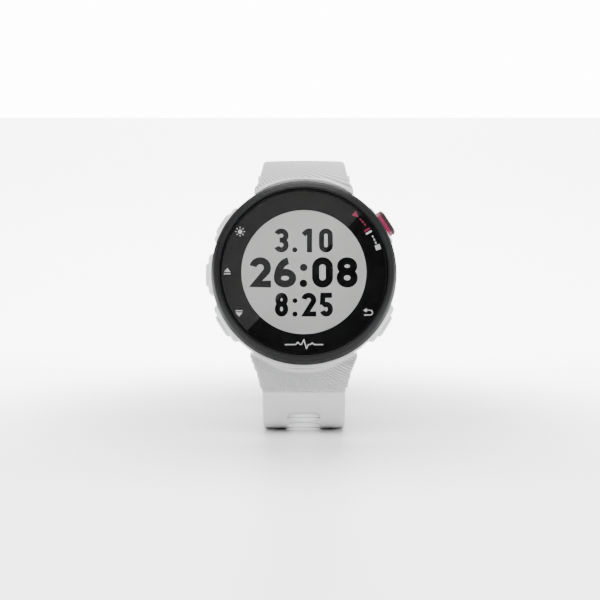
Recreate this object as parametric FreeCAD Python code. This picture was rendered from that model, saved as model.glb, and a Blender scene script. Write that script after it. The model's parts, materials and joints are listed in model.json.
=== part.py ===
"""A round GPS running watch standing on its buckled silicone band.

Everything is built in the watch's own frame, in millimetres: X to 3 o'clock, Y to 12 o'clock, Z out of the glass,
with the bezel's top rim at Z = 0. Each finished solid is then leaned back and set down, so that in the written
files +Z is up, the dial looks along -Y, and the origin is the middle of the flat that the band stands on.

In side view, a place is (depth behind the bezel rim, height towards 12 o'clock).
"""
import FreeCAD
import Part
import math
import os

V = FreeCAD.Vector
X_AXIS, Z_AXIS = V(1, 0, 0), V(0, 0, 1)

# --- Driving dimensions -------------------------------------------------------------------------------------------
LEAN = 14.0                 # how far the standing watch leans back, degrees

# case, as radii about the dial's centre and depths behind the bezel rim
CASE_R, CASE_WALL = 19.7, 2.2
CASE_TOP, CASE_BOTTOM = 3.5, 9.8
CASE_ROUND = (1.6, 0.9)     # how far the rear edge's rounding reaches up and in
BEZEL_R, BEZEL_WIDEST, BEZEL_FOOT_R = 19.75, 2.2, 19.35
BEZEL_LIP_R, BEZEL_RIM_W, BEZEL_SHOULDER = 17.75, 0.4, (19.15, 0.75)
BEZEL_SPIGOT_GAP = 0.15
LEDGE_R, LEDGE_TOP, LEDGE_BOTTOM = 15.2, 1.75, 2.6
GLASS_R, GLASS_TOP, GLASS_BOTTOM, GLASS_BEVEL = 17.6, 0.2, 1.5, 0.3
DISPLAY_R, VIEW_R = 14.9, 13.2
MASK_T, ADHESIVE_IN_R = 0.06, 15.5
PANEL_BOTTOM, BACKLIGHT_BOTTOM = 2.4, 2.95
TRAY_R, TRAY_HOLE_R, TRAY_TOP, TRAY_BOTTOM = 17.2, 9.0, 3.08, 3.9
CABLE_W, CABLE_T, CABLE_FOOT, CABLE_Y, CABLE_SLOT_T = 8.0, 0.1, 2.6, 15.5, 1.0
ANTENNA_OUT_R, ANTENNA_IN_R, ANTENNA_GAP = 17.1, 16.2, 11.0
SHELF_R, SHELF_TOP, SHELF_BOTTOM = 16.3, 4.0, 4.5
BOARD_R, BOARD_TOP, BOARD_BOTTOM = 16.0, 4.6, 5.3
SEAT_R, SEAT_TOP, SEAT_BOTTOM = 16.2, 8.2, 8.85
CABLE_BAY = (9.0, 16.3)     # width of the board's bay for the ribbon cable, and its middle's distance from the centre
CHIPS = ((-8.0, 8.0, 2.8, 2.8), (8.0, 8.0, 2.4, 3.0), (-11.4, -4.0, 2.0, 2.8), (11.4, -4.0, 2.0, 2.2),
         (0, -11.8, 4.0, 1.6))   # x, y, width, length
CHIP_T, SHIELD_W, SHIELD_L, SHIELD_Y = 0.5, 14.0, 12.0, 3.0
CELL_W, CELL_L, CELL_TOP, CELL_BOTTOM, CELL_Y = 20.0, 15.0, 5.95, 8.75, -1.8
TAB_W, TAB_T, TAB_X, TAB_Y = 3.0, 0.2, -3.5, 5.95
MOTOR_R, MOTOR_TOP, MOTOR_BOTTOM, MOTOR_Y = 3.4, 5.65, 7.9, 9.7
BUZZER_R, BUZZER_TOP, BUZZER_BOTTOM = 3.2, 7.95, 8.5
COVER_R, COVER_BOTTOM = 17.3, 10.0
PEDESTAL_R, PEDESTAL_BOTTOM = 10.8, 10.9
WINDOW_R, WINDOW_BOTTOM, WINDOW_SEAT, SIGHT_R = 7.6, 11.4, 0.4, 5.6
SENSOR_R, SENSOR_WELL_BOTTOM = 6.6, 10.2
COVER_ROUND, PEDESTAL_FOOT = 0.35, (1.2, 0.25)
SEAL_R, SEAL_T, SEAL_GROOVE = 16.82, 0.28, (17.15, 16.5, 0.57)
PORT_X, PORT_SIZE, PORT_DEPTH, CONTACT_R, CONTACT_PITCH = -14.0, (2.8, 7.4), 0.5, 0.45, 1.6
SENSOR_TOP, BAFFLE_BOTTOM, BAFFLE_R, BAFFLE_T, BAFFLE_BARS = 9.75, 10.15, 5.4, 0.5, (-1.75, 1.75)
LIGHT_SIZE, LIGHT_PLACES, RECEIVER_SIZE = 1.3, (-3.2, 3.2), 2.4

# buttons: the dial angle of each, anticlockwise from 3 o'clock
BUTTONS = {"start": 32.5, "light": 147.5, "up": 180.0, "down": 212.5, "back": -32.5}
BUTTON_DEPTH, BUTTON_TRAVEL = 6.3, 0.4
CAP_LENGTH, CAP_HEIGHT, CAP_OUT_R, CAP_IN_R = 5.2, 2.6, 21.0, 19.4
START_LENGTH, START_OUT_R, START_GUARD_R = 5.9, 21.7, 19.95   # the start button is longer and stands out further
CAP_ROUND, CAP_GAP, CAP_CROWN_ROUND = 1.15, 0.15, 0.3
POCKET_R, GUARD_R, GUARD_EXTRA, GUARD_ROOT_R, GUARD_HEIGHT, GUARD_ROUND = 18.9, 20.3, 3.4, 17.0, 4.6, 1.0
SHAFT_R, SHAFT_END_R, GROOVE_R, BUTTON_GAP = 0.8, 15.9, 0.46, 0.05
RING_GROOVE, RING_R, RING_T = (18.1, 18.6), 0.65, 0.17
CLIP_OUT_R, CLIP_IN_R, CLIP_HOLE_R, CLIP_MOUTH = 17.45, 17.15, 0.5, 0.9
CLIP_SPREAD_R = 1.4
SWITCH_R, SWITCH_NUB_R, SWITCH_NUB_L = 15.4, 0.5, 0.25
SWITCH_D, SWITCH_W, SWITCH_H = 1.2, 3.0, 1.6
FLEX_OUT_R, FLEX_T, FLEX_H, FLEX_LENGTH = 13.98, 0.18, 1.5, 22.0
FLEX_SIDES = (-13.5, 14.5)   # middles of the two stretches that carry a strip

# back cover screws
SCREW_RING_R, SCREW_ANGLES = 14.9, (60, 120, 240, 300)
POST_R, POST_WEB, POST_TOP = 1.35, 1.6, 6.2
INSERT_R, INSERT_BORE_R, INSERT_L = 0.98, 0.6, 2.25
HEAD_R, HEAD_T, HEAD_SINK, SHANK_R, SHANK_TOP = 1.25, 0.65, 0.08, 0.55, 6.9
CROSS_L, CROSS_W, CROSS_DEPTH = 1.5, 0.34, 0.37

# band
STRAP_W, STRAP_T, SKIN_T = 17.6, 2.2, 1.3
LIP = (4.3, 20.7)           # where each strap's face leaves the case; the lower strap's is the mirror image
SHOULDER_R, APRON = 4.5, 3.2   # from there the face rounds over into an apron that lies round the case's side
BAR = (8.2, 20.6)           # spring bar's axis; likewise mirrored
KNUCKLE_R, KNUCKLE_W, BAR_R = 1.9, 15.8, 0.9
LUG_R, LUG_IN, LUG_OUT = 1.3, 8.1, 9.9
LUG_SKIN = 0.5              # closed end of each lug's hole
LUG_ROOT, RECESS_TOP, POCKET_GAP, POCKET_W = 16.0, 4.4, 0.32, 3.4
LEVER_WINDOW = (2.5, 3.6, 2.0, 4.0)   # start, width, height and depth of the opening over the release lever
TIP_R, TIP_END = 0.45, 9.3
TUBE_END, TUBE_BORE_R, TUBE_BORE_X, LEVER_SLOT = 7.6, 0.68, (2.4, 7.3), (2.9, 5.7)
SLIDER_R, SLIDER_X, LEVER_X, LEVER_R, LEVER_H, KNOB_R = 0.62, (4.2, 7.25), 5.0, 0.4, 2.3, 0.55
UPPER_HOLE_R, LOWER_HOLE_R = 0.50, 0.52
CASE_GAP = 0.3              # room between strap and case, for the band to rock
UPPER_FLARE, LOWER_FLARE = 10.6, 11.3   # half widths at the case
FLARE_TOP, FLARE_END = 17.2, 29.0
UPPER_ROOT, LOWER_ROOT = 16.0, 12.0   # depths to which the thick ends reach
CREST = (20.0, 27.2)        # highest point of the upper strap's outer face
CROWN_R, CORNER_R = 60.0, 11.0
UPPER_CORNER = 4            # steps of the two ribbons that have a name
LOWER_FOOT, LOWER_CORNER, LOWER_TAIL = 4, 6, 7
INNER_LAYER = 54.4          # depth of the outer face of the upper strap's straight run, under the tail
LAYER_GAP = 0.15
DROP_ANGLE, DROP_RUN, FOOT_R, FOOT_RUN, SOLE_R = 70.0, 3.8, 11.9, 15.0, 80.0
TAIL_TURN = 14.0            # how far the tail's tip follows the upper strap's corner, degrees
PIVOT_RUN = (42.5, -1.6)    # from each spring bar to the bend behind it: the four pivots make a parallelogram
BEND_GAP = 0.5

# buckle and keeper
PIN_H, PIN_IN, PIN_R, EYE_R = -4.5, 1.65, 0.7, 1.65
SLOT_PITCH, SLOT_H, SLOT_W, SLOTS_BELOW, SLOTS_ABOVE = 3.55, 2.2, 6.5, 17, 3
SLOT_OFFSET = 0.55          # the tongue stands low in its slot
SLOT_ROUND = 0.8
TIP_NOSE_R, TIP_SIDE = 12.0, 9.0   # rounding of the tail's end, and how far down its sides it starts
TONGUE_W, TONGUE_T, TONGUE_GAP, TONGUE_RING_R = 5.6, 0.9, 0.3, 1.45
FRAME_OUT, FRAME_IN, BAR_DROP, FRAME_BAR_T, FRAME_BAR_H = 11.6, 9.6, 9.6, 1.8, 3.0
FRAME_ROUND, PIN_SKIN, TAIL_CLEAR = 0.6, 0.7, 0.35
KEEPER_H, KEEPER_L, KEEPER_T = 3.5, 5.0, 1.3
KEEPER_ROOM, KEEPER_ROUND, KEEPER_BORE_ROUND = 0.3, 1.9, 0.7

EPS = 0.01
TALL = 80.0                 # longer than anything it cuts


# --- Small helpers ------------------------------------------------------------------------------------------------
def side(x, depth, height):
    """A point from its place in side view."""
    return V(x, height, -depth)


def disc(radius, top, bottom, x=0.0, y=0.0):
    return Part.makeCylinder(radius, bottom - top, V(x, y, -bottom))


def ring(outer, inner, top, bottom, x=0.0, y=0.0):
    return disc(outer, top, bottom, x, y).cut(disc(inner, top - 1, bottom + 1, x, y))


def block(x_size, y_size, top, bottom, x=0.0, y=0.0):
    return Part.makeBox(x_size, y_size, bottom - top, V(x - x_size / 2, y - y_size / 2, -bottom))


def cross_rod(radius, x0, x1, place):
    """A rod along X through a place in side view."""
    return Part.makeCylinder(radius, x1 - x0, side(x0, *place), X_AXIS)


def turned(outline):
    """A solid of revolution about the dial's axis from (radius, depth) points; a triple (r, d, "arc") is a via point."""
    edges, k = [], 0
    points = outline + [outline[0]]
    while k < len(points) - 1:
        here = V(points[k][0], 0, -points[k][1])
        if len(points[k + 1]) == 3:
            via, end = (V(p[0], 0, -p[1]) for p in points[k + 1:k + 3])
            edges.append(Part.Arc(here, via, end).toShape())
            k += 2
        else:
            edges.append(Part.LineSegment(here, V(points[k + 1][0], 0, -points[k + 1][1])).toShape())
            k += 1
    return Part.Face(Part.Wire(edges)).revolve(V(0, 0, 0), Z_AXIS, 360)


def at_angle(shape, degrees):
    """Turns a piece made at 3 o'clock to its place round the dial."""
    moved = shape.copy()
    moved.rotate(V(0, 0, 0), Z_AXIS, degrees)
    return moved


def softened(shape, radius, keep):
    """Rounds the edges that keep() picks."""
    return shape.makeFillet(radius, [e for e in shape.Edges if keep(e)])


def is_upright(edge):
    """True for an edge that runs through the watch's thickness."""
    return abs(edge.Vertexes[0].Z - edge.Vertexes[-1].Z) > 0.3


def mirrored(shape):
    """The lower half of something made at 12 o'clock."""
    return shape.mirror(V(0, 0, 0), V(0, 1, 0))


class Ribbon:
    """A strap's outer face in side view, as runs and arcs from a start; inside is +1 if the wrist is to its left."""

    def __init__(self, start, heading, inside):
        self.place, self.heading, self.inside = start, heading, inside
        self.steps = []

    def at(self, offset, place=None, heading=None):
        """The point that lies offset mm towards the wrist."""
        place, heading = place or self.place, self.heading if heading is None else heading
        normal = math.radians(heading + 90 * self.inside)
        return (place[0] + offset * math.cos(normal), place[1] + offset * math.sin(normal))

    def run(self, length):
        old = (self.place, self.heading)
        a = math.radians(self.heading)
        self.place = (self.place[0] + length * math.cos(a), self.place[1] + length * math.sin(a))
        self.steps.append(("run", length, old, (self.place, self.heading)))
        return self

    def arc(self, radius, turn):
        """Turns towards the wrist by turn degrees."""
        old = (self.place, self.heading)
        centre = self.at(radius)
        new_heading = self.heading + turn * self.inside
        normal = math.radians(new_heading + 90 * self.inside)
        self.place = (centre[0] - radius * math.cos(normal), centre[1] - radius * math.sin(normal))
        self.heading = new_heading
        self.steps.append(("arc", radius, old, (self.place, self.heading)))
        return self

    def spot(self, distance, offset=0.0):
        """(place, heading) at a distance along the strap's middle layer."""
        for kind, size, (place, heading), (_, after) in self.steps:
            turn = abs(after - heading)
            length = size if kind == "run" else math.radians(turn) * (size - STRAP_T / 2)
            if distance <= length + EPS:
                part = Ribbon(place, heading, self.inside)
                if kind == "run":
                    part.run(distance)
                else:
                    part.arc(size, turn * distance / length)
                return part.at(offset), part.heading
            distance -= length
        raise ValueError("the strap is shorter than that")

    def middle_length(self, last=None):
        """Length of the strap's middle layer over the first steps."""
        return sum(size if kind == "run" else math.radians(abs(after - before)) * (size - STRAP_T / 2)
                   for kind, size, (_, before), (_, after) in self.steps[:last])

    def sheet(self, thickness, half_width, first=0, last=None):
        """A solid of that thickness along the chosen steps, across the width."""
        def edge(step, offset):
            kind, size, (p0, h0), (p1, h1) = step
            start, end = side(0, *self.at(offset, p0, h0)), side(0, *self.at(offset, p1, h1))
            if kind == "run":
                return Part.LineSegment(start, end).toShape()
            half = Ribbon(p0, h0, self.inside).arc(size, abs(h1 - h0) / 2)
            return Part.Arc(start, side(0, *half.at(offset)), end).toShape()

        steps = self.steps[first:last]
        outer = [edge(s, 0) for s in steps]
        inner = [edge(s, thickness) for s in steps]
        (p0, h0), (p1, h1) = steps[0][2], steps[-1][3]
        ends = [Part.LineSegment(side(0, *self.at(0, p, h)), side(0, *self.at(thickness, p, h))).toShape()
                for p, h in ((p0, h0), (p1, h1))]
        face = Part.Face(Part.Wire(Part.__sortEdges__(outer + inner + ends)))
        face.translate(V(-half_width, 0, 0))
        return face.extrude(V(2 * half_width, 0, 0))


# --- The band's path ----------------------------------------------------------------------------------------------
def apron_start(turn):
    """Where the upper strap's face begins, so that its shoulder ends at the lip."""
    a = math.radians(turn)
    return (LIP[0] - SHOULDER_R * (1 - math.cos(a)), LIP[1] - SHOULDER_R * math.sin(a) - APRON)


def upper_ribbon():
    """Up from the case over the crest, round the top rear corner and down to the buckle's pin."""
    back, rise = CREST[0] - LIP[0], CREST[1] - LIP[1]
    start = 2 * math.degrees(math.atan2(rise, back))
    crown = math.degrees(math.asin((INNER_LAYER - CREST[0] - CORNER_R) / (CROWN_R - CORNER_R)))
    r = Ribbon(apron_start(90 - start), 90, -1)
    r.run(APRON).arc(SHOULDER_R, 90 - start)
    r.arc(back / math.sin(math.radians(start)), start)
    r.arc(CROWN_R, crown)
    r.arc(CORNER_R, 90 - crown)
    r.run(r.place[1] - PIN_H)
    return r


def lower_ribbon(corner_height):
    """Down from the case to the flat that it stands on, round the lower rear corner and up outside the other strap."""
    tail_out = INNER_LAYER + LAYER_GAP + STRAP_T
    depth, height = apron_start(90 - DROP_ANGLE)
    r = Ribbon((depth, -height), -90, 1)
    r.run(APRON).arc(SHOULDER_R, 90 - DROP_ANGLE)
    r.run(DROP_RUN)
    r.arc(FOOT_R, DROP_ANGLE + LEAN)
    r.run(FOOT_RUN)
    reach = tail_out - r.place[0] - CORNER_R + SOLE_R * math.sin(math.radians(LEAN))
    sole = math.degrees(math.asin(reach / (SOLE_R - CORNER_R)))
    r.arc(SOLE_R, sole - LEAN)
    r.arc(CORNER_R, 90 - sole)
    r.run(corner_height - r.place[1])
    r.arc(CORNER_R + LAYER_GAP + STRAP_T, TAIL_TURN)
    return r


UPPER = upper_ribbon()
CORNER_HEIGHT = UPPER.steps[UPPER_CORNER][3][0][1]      # where the upper strap's straight run begins
LOWER = lower_ribbon(CORNER_HEIGHT)
PIN = (INNER_LAYER - PIN_IN, PIN_H)
UPPER_BEND = (BAR[0] + PIVOT_RUN[0], BAR[1] + PIVOT_RUN[1])
LOWER_BEND = (BAR[0] + PIVOT_RUN[0], -BAR[1] + PIVOT_RUN[1])
TAIL_OUT = INNER_LAYER + LAYER_GAP + STRAP_T
FOOT_START = LOWER.steps[LOWER_FOOT][2][0]
FOOT_END = LOWER.steps[LOWER_FOOT][3][0]


def stood(shape):
    """Leans a piece back and sets the middle of the standing flat on the origin."""
    foot = side(0, (FOOT_START[0] + FOOT_END[0]) / 2, (FOOT_START[1] + FOOT_END[1]) / 2)
    turn = FreeCAD.Rotation(X_AXIS, 90 - LEAN)
    placed = shape.copy()
    placed.Placement = FreeCAD.Placement(turn.multVec(foot).negative(), turn).multiply(placed.Placement)
    return placed


# --- Front of the case --------------------------------------------------------------------------------------------
def bezel():
    skirt_r = CASE_R - CASE_WALL + BEZEL_SPIGOT_GAP
    return turned([
        (BEZEL_LIP_R, 0.0), (BEZEL_LIP_R + BEZEL_RIM_W, 0.0), (*BEZEL_SHOULDER, "arc"), (BEZEL_R, BEZEL_WIDEST),
        (BEZEL_FOOT_R, CASE_TOP), (skirt_r, CASE_TOP), (skirt_r, LEDGE_BOTTOM), (LEDGE_R, LEDGE_BOTTOM),
        (LEDGE_R, LEDGE_TOP), (BEZEL_LIP_R, LEDGE_TOP)])


def lens_glass():
    return turned([(0, GLASS_TOP), (GLASS_R - GLASS_BEVEL, GLASS_TOP), (GLASS_R, GLASS_TOP + GLASS_BEVEL),
                   (GLASS_R, GLASS_BOTTOM), (0, GLASS_BOTTOM)])


def display_tray():
    """Holds the display; its slot passes the ribbon cable."""
    tray = ring(TRAY_R, TRAY_HOLE_R, TRAY_TOP, TRAY_BOTTOM)
    return tray.cut(block(CABLE_W + 0.8, CABLE_SLOT_T, TRAY_TOP - 1, TRAY_BOTTOM + 1, 0, -CABLE_Y - 0.05))


def display_ribbon_cable():
    """From under the backlight, through the tray's slot, to the board's underside."""
    foot_y = (CABLE_FOOT - CABLE_T) / 2 - CABLE_Y
    top, bottom = BACKLIGHT_BOTTOM + EPS, BOARD_BOTTOM + 2 * EPS
    foot = block(CABLE_W, CABLE_FOOT, top, BACKLIGHT_BOTTOM + CABLE_T, 0, foot_y)
    drop = block(CABLE_W, CABLE_T, top, bottom + CABLE_T, 0, -CABLE_Y)
    tail = block(CABLE_W, CABLE_FOOT, bottom, bottom + CABLE_T, 0, foot_y)
    return foot.fuse([drop, tail]).removeSplitter()


def gps_antenna():
    """A stamped loop round the tray with a gap at 6 o'clock for the ribbon cable."""
    loop = ring(ANTENNA_OUT_R, ANTENNA_IN_R, LEDGE_BOTTOM + 0.08, TRAY_TOP - 0.02)
    height = 4 * (ANTENNA_OUT_R - ANTENNA_IN_R)
    return loop.cut(block(ANTENNA_GAP, height, LEDGE_BOTTOM - 1, TRAY_TOP + 1, 0, -ANTENNA_OUT_R))


# --- Case body ----------------------------------------------------------------------------------------------------
def button_size(name):
    """Length and outer radius of one button's cap, and the radius its guard stands out to."""
    return (START_LENGTH, START_OUT_R, START_GUARD_R) if name == "start" else (CAP_LENGTH, CAP_OUT_R, GUARD_R)


def button_guard(name):
    """The boss round one button, at 3 o'clock."""
    cap_length, _, guard_r = button_size(name)
    length = cap_length + GUARD_EXTRA
    boss = Part.makeBox(guard_r - GUARD_ROOT_R, length, GUARD_HEIGHT,
                        V(GUARD_ROOT_R, -length / 2, -BUTTON_DEPTH - GUARD_HEIGHT / 2))
    boss = softened(boss, GUARD_ROUND, lambda e: abs(e.CenterOfMass.x - guard_r) < EPS)
    return boss.common(disc(guard_r + 1, CASE_TOP, CASE_BOTTOM))


def rounded_bar(x0, x1, length, height, radius):
    """A bar along X with rounded long corners, centred on a button's axis."""
    bar = Part.makeBox(x1 - x0, length, height, V(x0, -length / 2, -BUTTON_DEPTH - height / 2))
    return softened(bar, radius, lambda e: abs(e.Length - (x1 - x0)) < EPS)


def button_cut(name):
    """The pocket for a button's cap and the hole for its shaft, at 3 o'clock."""
    pocket = rounded_bar(POCKET_R, GUARD_R + 2, button_size(name)[0] + 2 * CAP_GAP, CAP_HEIGHT + 2 * CAP_GAP,
                         CAP_ROUND + 0.1)
    hole = Part.makeCylinder(SHAFT_R + BUTTON_GAP, GUARD_R - CLIP_IN_R + 3, V(CLIP_IN_R - 2, 0, -BUTTON_DEPTH), X_AXIS)
    return pocket.fuse(hole)


def lug(x0, x1, hole_r):
    """One lug at 12 o'clock, from the wall out to the spring bar."""
    neck = Part.makeBox(x1 - x0, BAR[1] - LUG_ROOT, 2 * LUG_R, side(x0, BAR[0] + LUG_R, LUG_ROOT))
    end = cross_rod(LUG_R, x0, x1, BAR)
    hole = cross_rod(hole_r, x0 if x0 > 0 else x0 + LUG_SKIN, x1 if x0 < 0 else x1 - LUG_SKIN, BAR)
    return neck.fuse(end).cut(hole)


def case_body():
    inner = CASE_R - CASE_WALL
    shell = turned([
        (CASE_R, CASE_TOP + 0.02), (CASE_R, CASE_BOTTOM - CASE_ROUND[0]),
        (CASE_R - CASE_ROUND[1] / 3, CASE_BOTTOM - CASE_ROUND[0] / 3, "arc"),
        (CASE_R - CASE_ROUND[1], CASE_BOTTOM), (inner, CASE_BOTTOM), (inner, SEAT_BOTTOM), (SEAT_R, SEAT_BOTTOM),
        (SEAT_R, SEAT_TOP), (inner, SEAT_TOP), (inner, SHELF_BOTTOM), (SHELF_R, SHELF_BOTTOM), (SHELF_R, SHELF_TOP),
        (inner, SHELF_TOP), (inner, CASE_TOP + 0.02)])
    recess = Part.makeBox(2 * LUG_IN, 2 * KNUCKLE_R, CASE_BOTTOM - RECESS_TOP,
                          V(-LUG_IN, BAR[1] - KNUCKLE_R - 0.25, -CASE_BOTTOM))
    shell = shell.cut([recess, mirrored(recess)])
    lugs = []
    for x0, x1 in ((LUG_IN, LUG_OUT), (-LUG_OUT, -LUG_IN)):
        lugs.append(lug(x0, x1, UPPER_HOLE_R))
        lugs.append(mirrored(lug(x0, x1, LOWER_HOLE_R)))
    posts = []
    for angle in SCREW_ANGLES:
        post = disc(POST_R, POST_TOP, SEAT_BOTTOM, SCREW_RING_R)
        root = inner + 0.3
        web = block(root - SCREW_RING_R, POST_WEB, POST_TOP, SEAT_TOP + 0.2, (root + SCREW_RING_R) / 2)
        posts.append(at_angle(post.fuse(web), angle))
    guards = [at_angle(button_guard(name), angle) for name, angle in BUTTONS.items()]
    guards = [g.cut(disc(inner, CASE_TOP - 1, CASE_BOTTOM + 1)) for g in guards]
    body = shell.fuse(guards + lugs + posts)
    body = body.cut([at_angle(button_cut(name), angle) for name, angle in BUTTONS.items()])
    hole = disc(INSERT_R + 0.02, SEAT_BOTTOM - INSERT_L - 0.05, SEAT_BOTTOM + 1, SCREW_RING_R)
    return body.cut([at_angle(hole, a) for a in SCREW_ANGLES]).removeSplitter()


# --- Back of the case ---------------------------------------------------------------------------------------------
def back_cover():
    top = SEAT_BOTTOM + 0.02
    reach, rise = PEDESTAL_FOOT
    plate = turned([
        (0, top), (COVER_R, top), (COVER_R, COVER_BOTTOM - COVER_ROUND), (COVER_R - COVER_ROUND, COVER_BOTTOM),
        (PEDESTAL_R + reach, COVER_BOTTOM), (PEDESTAL_R + COVER_ROUND, COVER_BOTTOM + rise, "arc"),
        (PEDESTAL_R, PEDESTAL_BOTTOM - 0.3), (PEDESTAL_R - 0.4, PEDESTAL_BOTTOM), (0, PEDESTAL_BOTTOM)])
    groove_out, groove_in, groove_deep = SEAL_GROOVE
    groove = ring(groove_out, groove_in, top - 1, top + groove_deep)
    sensor_well = disc(SENSOR_R + 0.1, top - 1, SENSOR_WELL_BOTTOM)
    sight = disc(SIGHT_R, SENSOR_TOP, PEDESTAL_BOTTOM + 1)
    window_seat = disc(WINDOW_R + 0.05, PEDESTAL_BOTTOM - WINDOW_SEAT, PEDESTAL_BOTTOM + 1)
    holes = []
    for angle in SCREW_ANGLES:
        holes.append(at_angle(disc(SHANK_R + 0.2, top - 1, COVER_BOTTOM + 1, SCREW_RING_R), angle))
        sunk = COVER_BOTTOM - HEAD_T - HEAD_SINK - 0.02
        holes.append(at_angle(disc(HEAD_R + 0.1, sunk, COVER_BOTTOM + 1, SCREW_RING_R), angle))
    port = block(*PORT_SIZE, COVER_BOTTOM - PORT_DEPTH, COVER_BOTTOM + 1, PORT_X)
    port = softened(port, 1.0, is_upright)
    pin_holes = [disc(CONTACT_R + 0.02, top - 1, COVER_BOTTOM + 1, PORT_X, y) for y in contact_rows()]
    return plate.cut([groove, sensor_well, sight, window_seat, port] + holes + pin_holes)


def contact_rows():
    return [CONTACT_PITCH * (k - 1.5) for k in range(4)]


def charge_contacts():
    top, face = SEAT_BOTTOM - 0.25, COVER_BOTTOM - PORT_DEPTH + 0.1
    return Part.makeCompound([disc(CONTACT_R, top, face, PORT_X, y) for y in contact_rows()])


def back_seal():
    return Part.makeTorus(SEAL_R, SEAL_T, V(0, 0, -(SEAT_BOTTOM + 0.3)))


def back_screws():
    """Four machine screws with a cross recess."""
    screws = []
    head_top, head_bottom = COVER_BOTTOM - HEAD_T - HEAD_SINK, COVER_BOTTOM - HEAD_SINK
    for angle in SCREW_ANGLES:
        head = disc(HEAD_R, head_top, head_bottom, SCREW_RING_R)
        shank = disc(SHANK_R, SHANK_TOP, head_top + EPS, SCREW_RING_R)
        slots = [block(a, b, head_bottom - CROSS_DEPTH, COVER_BOTTOM, SCREW_RING_R)
                 for a, b in ((CROSS_L, CROSS_W), (CROSS_W, CROSS_L))]
        screws.append(at_angle(head.fuse(shank).cut(slots), angle))
    return Part.makeCompound(screws)


def screw_inserts():
    sleeve = ring(INSERT_R, INSERT_BORE_R, SEAT_BOTTOM - INSERT_L, SEAT_BOTTOM, SCREW_RING_R)
    return Part.makeCompound([at_angle(sleeve, a) for a in SCREW_ANGLES])


def sensor_window():
    """The slightly domed tinted lens that lies on the wrist."""
    top = PEDESTAL_BOTTOM - WINDOW_SEAT + 0.02
    flat_r = WINDOW_R / 3
    return turned([(0, top), (WINDOW_R, top), (WINDOW_R, PEDESTAL_BOTTOM),
                   (2.1 * flat_r, WINDOW_BOTTOM - 0.12, "arc"), (flat_r, WINDOW_BOTTOM), (0, WINDOW_BOTTOM)])


def sensor_baffle():
    """Walls that keep the light sources' light from the receiver."""
    wall = ring(BAFFLE_R, BAFFLE_R - BAFFLE_T, SENSOR_TOP, BAFFLE_BOTTOM)
    bars = [block(0.4, 2 * (BAFFLE_R - BAFFLE_T) + 0.1, SENSOR_TOP, BAFFLE_BOTTOM, x) for x in BAFFLE_BARS]
    return wall.fuse(bars).removeSplitter()


def sensor_lights():
    return Part.makeCompound([block(LIGHT_SIZE, LIGHT_SIZE, SENSOR_TOP, BAFFLE_BOTTOM - 0.05, x) for x in LIGHT_PLACES])


# --- Buttons ------------------------------------------------------------------------------------------------------
def button(name):
    """Cap and shaft in one, with grooves for the seal and the clip."""
    length, out_r, _ = button_size(name)
    cap = rounded_bar(CAP_IN_R, out_r + 1, length, CAP_HEIGHT, CAP_ROUND)
    cap = cap.common(disc(out_r, 0, 2 * BUTTON_DEPTH))
    cap = softened(cap, CAP_CROWN_ROUND, lambda e: e.CenterOfMass.x > out_r - 0.75)
    shaft = Part.makeCylinder(SHAFT_R, CAP_IN_R + 0.2 - SHAFT_END_R, V(SHAFT_END_R, 0, -BUTTON_DEPTH), X_AXIS)
    for low, high in (RING_GROOVE, (CLIP_IN_R - 0.05, CLIP_OUT_R + 0.02)):
        tube = Part.makeCylinder(SHAFT_R + 1, high - low, V(low, 0, -BUTTON_DEPTH), X_AXIS)
        shaft = shaft.cut(tube.cut(Part.makeCylinder(GROOVE_R, TALL, V(0, 0, -BUTTON_DEPTH), X_AXIS)))
    return at_angle(cap.fuse(shaft), BUTTONS[name])


def button_seal(angle):
    return at_angle(Part.makeTorus(RING_R, RING_T, V(sum(RING_GROOVE) / 2, 0, -BUTTON_DEPTH), X_AXIS), angle)


def button_clip(angle):
    """The spring clip that keeps the button from coming out."""
    start = V(CLIP_IN_R, 0, -BUTTON_DEPTH)
    washer = Part.makeCylinder(CLIP_SPREAD_R, CLIP_OUT_R - CLIP_IN_R - 0.05, start, X_AXIS)
    washer = washer.cut(Part.makeCylinder(CLIP_HOLE_R, 1, start, X_AXIS))
    mouth = Part.makeBox(1, CLIP_MOUTH, 2, start + V(-0.1, -CLIP_MOUTH / 2, 0))
    return at_angle(washer.cut(mouth), angle)


def tact_switches():
    switches = []
    for angle in BUTTONS.values():
        corner = V(SWITCH_R - SWITCH_D - 0.2, -SWITCH_W / 2, -BUTTON_DEPTH - SWITCH_H / 2)
        body = Part.makeBox(SWITCH_D, SWITCH_W, SWITCH_H, corner)
        nub = Part.makeCylinder(SWITCH_NUB_R, SWITCH_NUB_L, V(SWITCH_R - SWITCH_NUB_L, 0, -BUTTON_DEPTH), X_AXIS)
        switches.append(at_angle(body.fuse(nub), angle))
    return Part.makeCompound(switches)


def switch_flex():
    """The thin circuit strips behind the switches, left and right."""
    strip = ring(FLEX_OUT_R, FLEX_OUT_R - FLEX_T, BUTTON_DEPTH - FLEX_H / 2, BUTTON_DEPTH + FLEX_H / 2)
    sides = [strip.common(block(FLEX_OUT_R, FLEX_LENGTH, 0, CASE_BOTTOM, x)) for x in FLEX_SIDES]
    return Part.makeCompound(sides)


# --- Inside -------------------------------------------------------------------------------------------------------
def main_board():
    """Round circuit board with a bay for the ribbon cable."""
    board = disc(BOARD_R, BOARD_TOP, BOARD_BOTTOM)
    return board.cut(block(CABLE_BAY[0], 2.0, BOARD_TOP - 1, BOARD_BOTTOM + 1, 0, -CABLE_BAY[1]))


def board_chips():
    return Part.makeCompound([block(w, l, BOARD_BOTTOM, BOARD_BOTTOM + CHIP_T, x, y) for x, y, w, l in CHIPS])


def board_shield():
    return softened(block(SHIELD_W, SHIELD_L, TRAY_BOTTOM + 0.08, BOARD_TOP, 0, SHIELD_Y), 0.4, is_upright)


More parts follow.
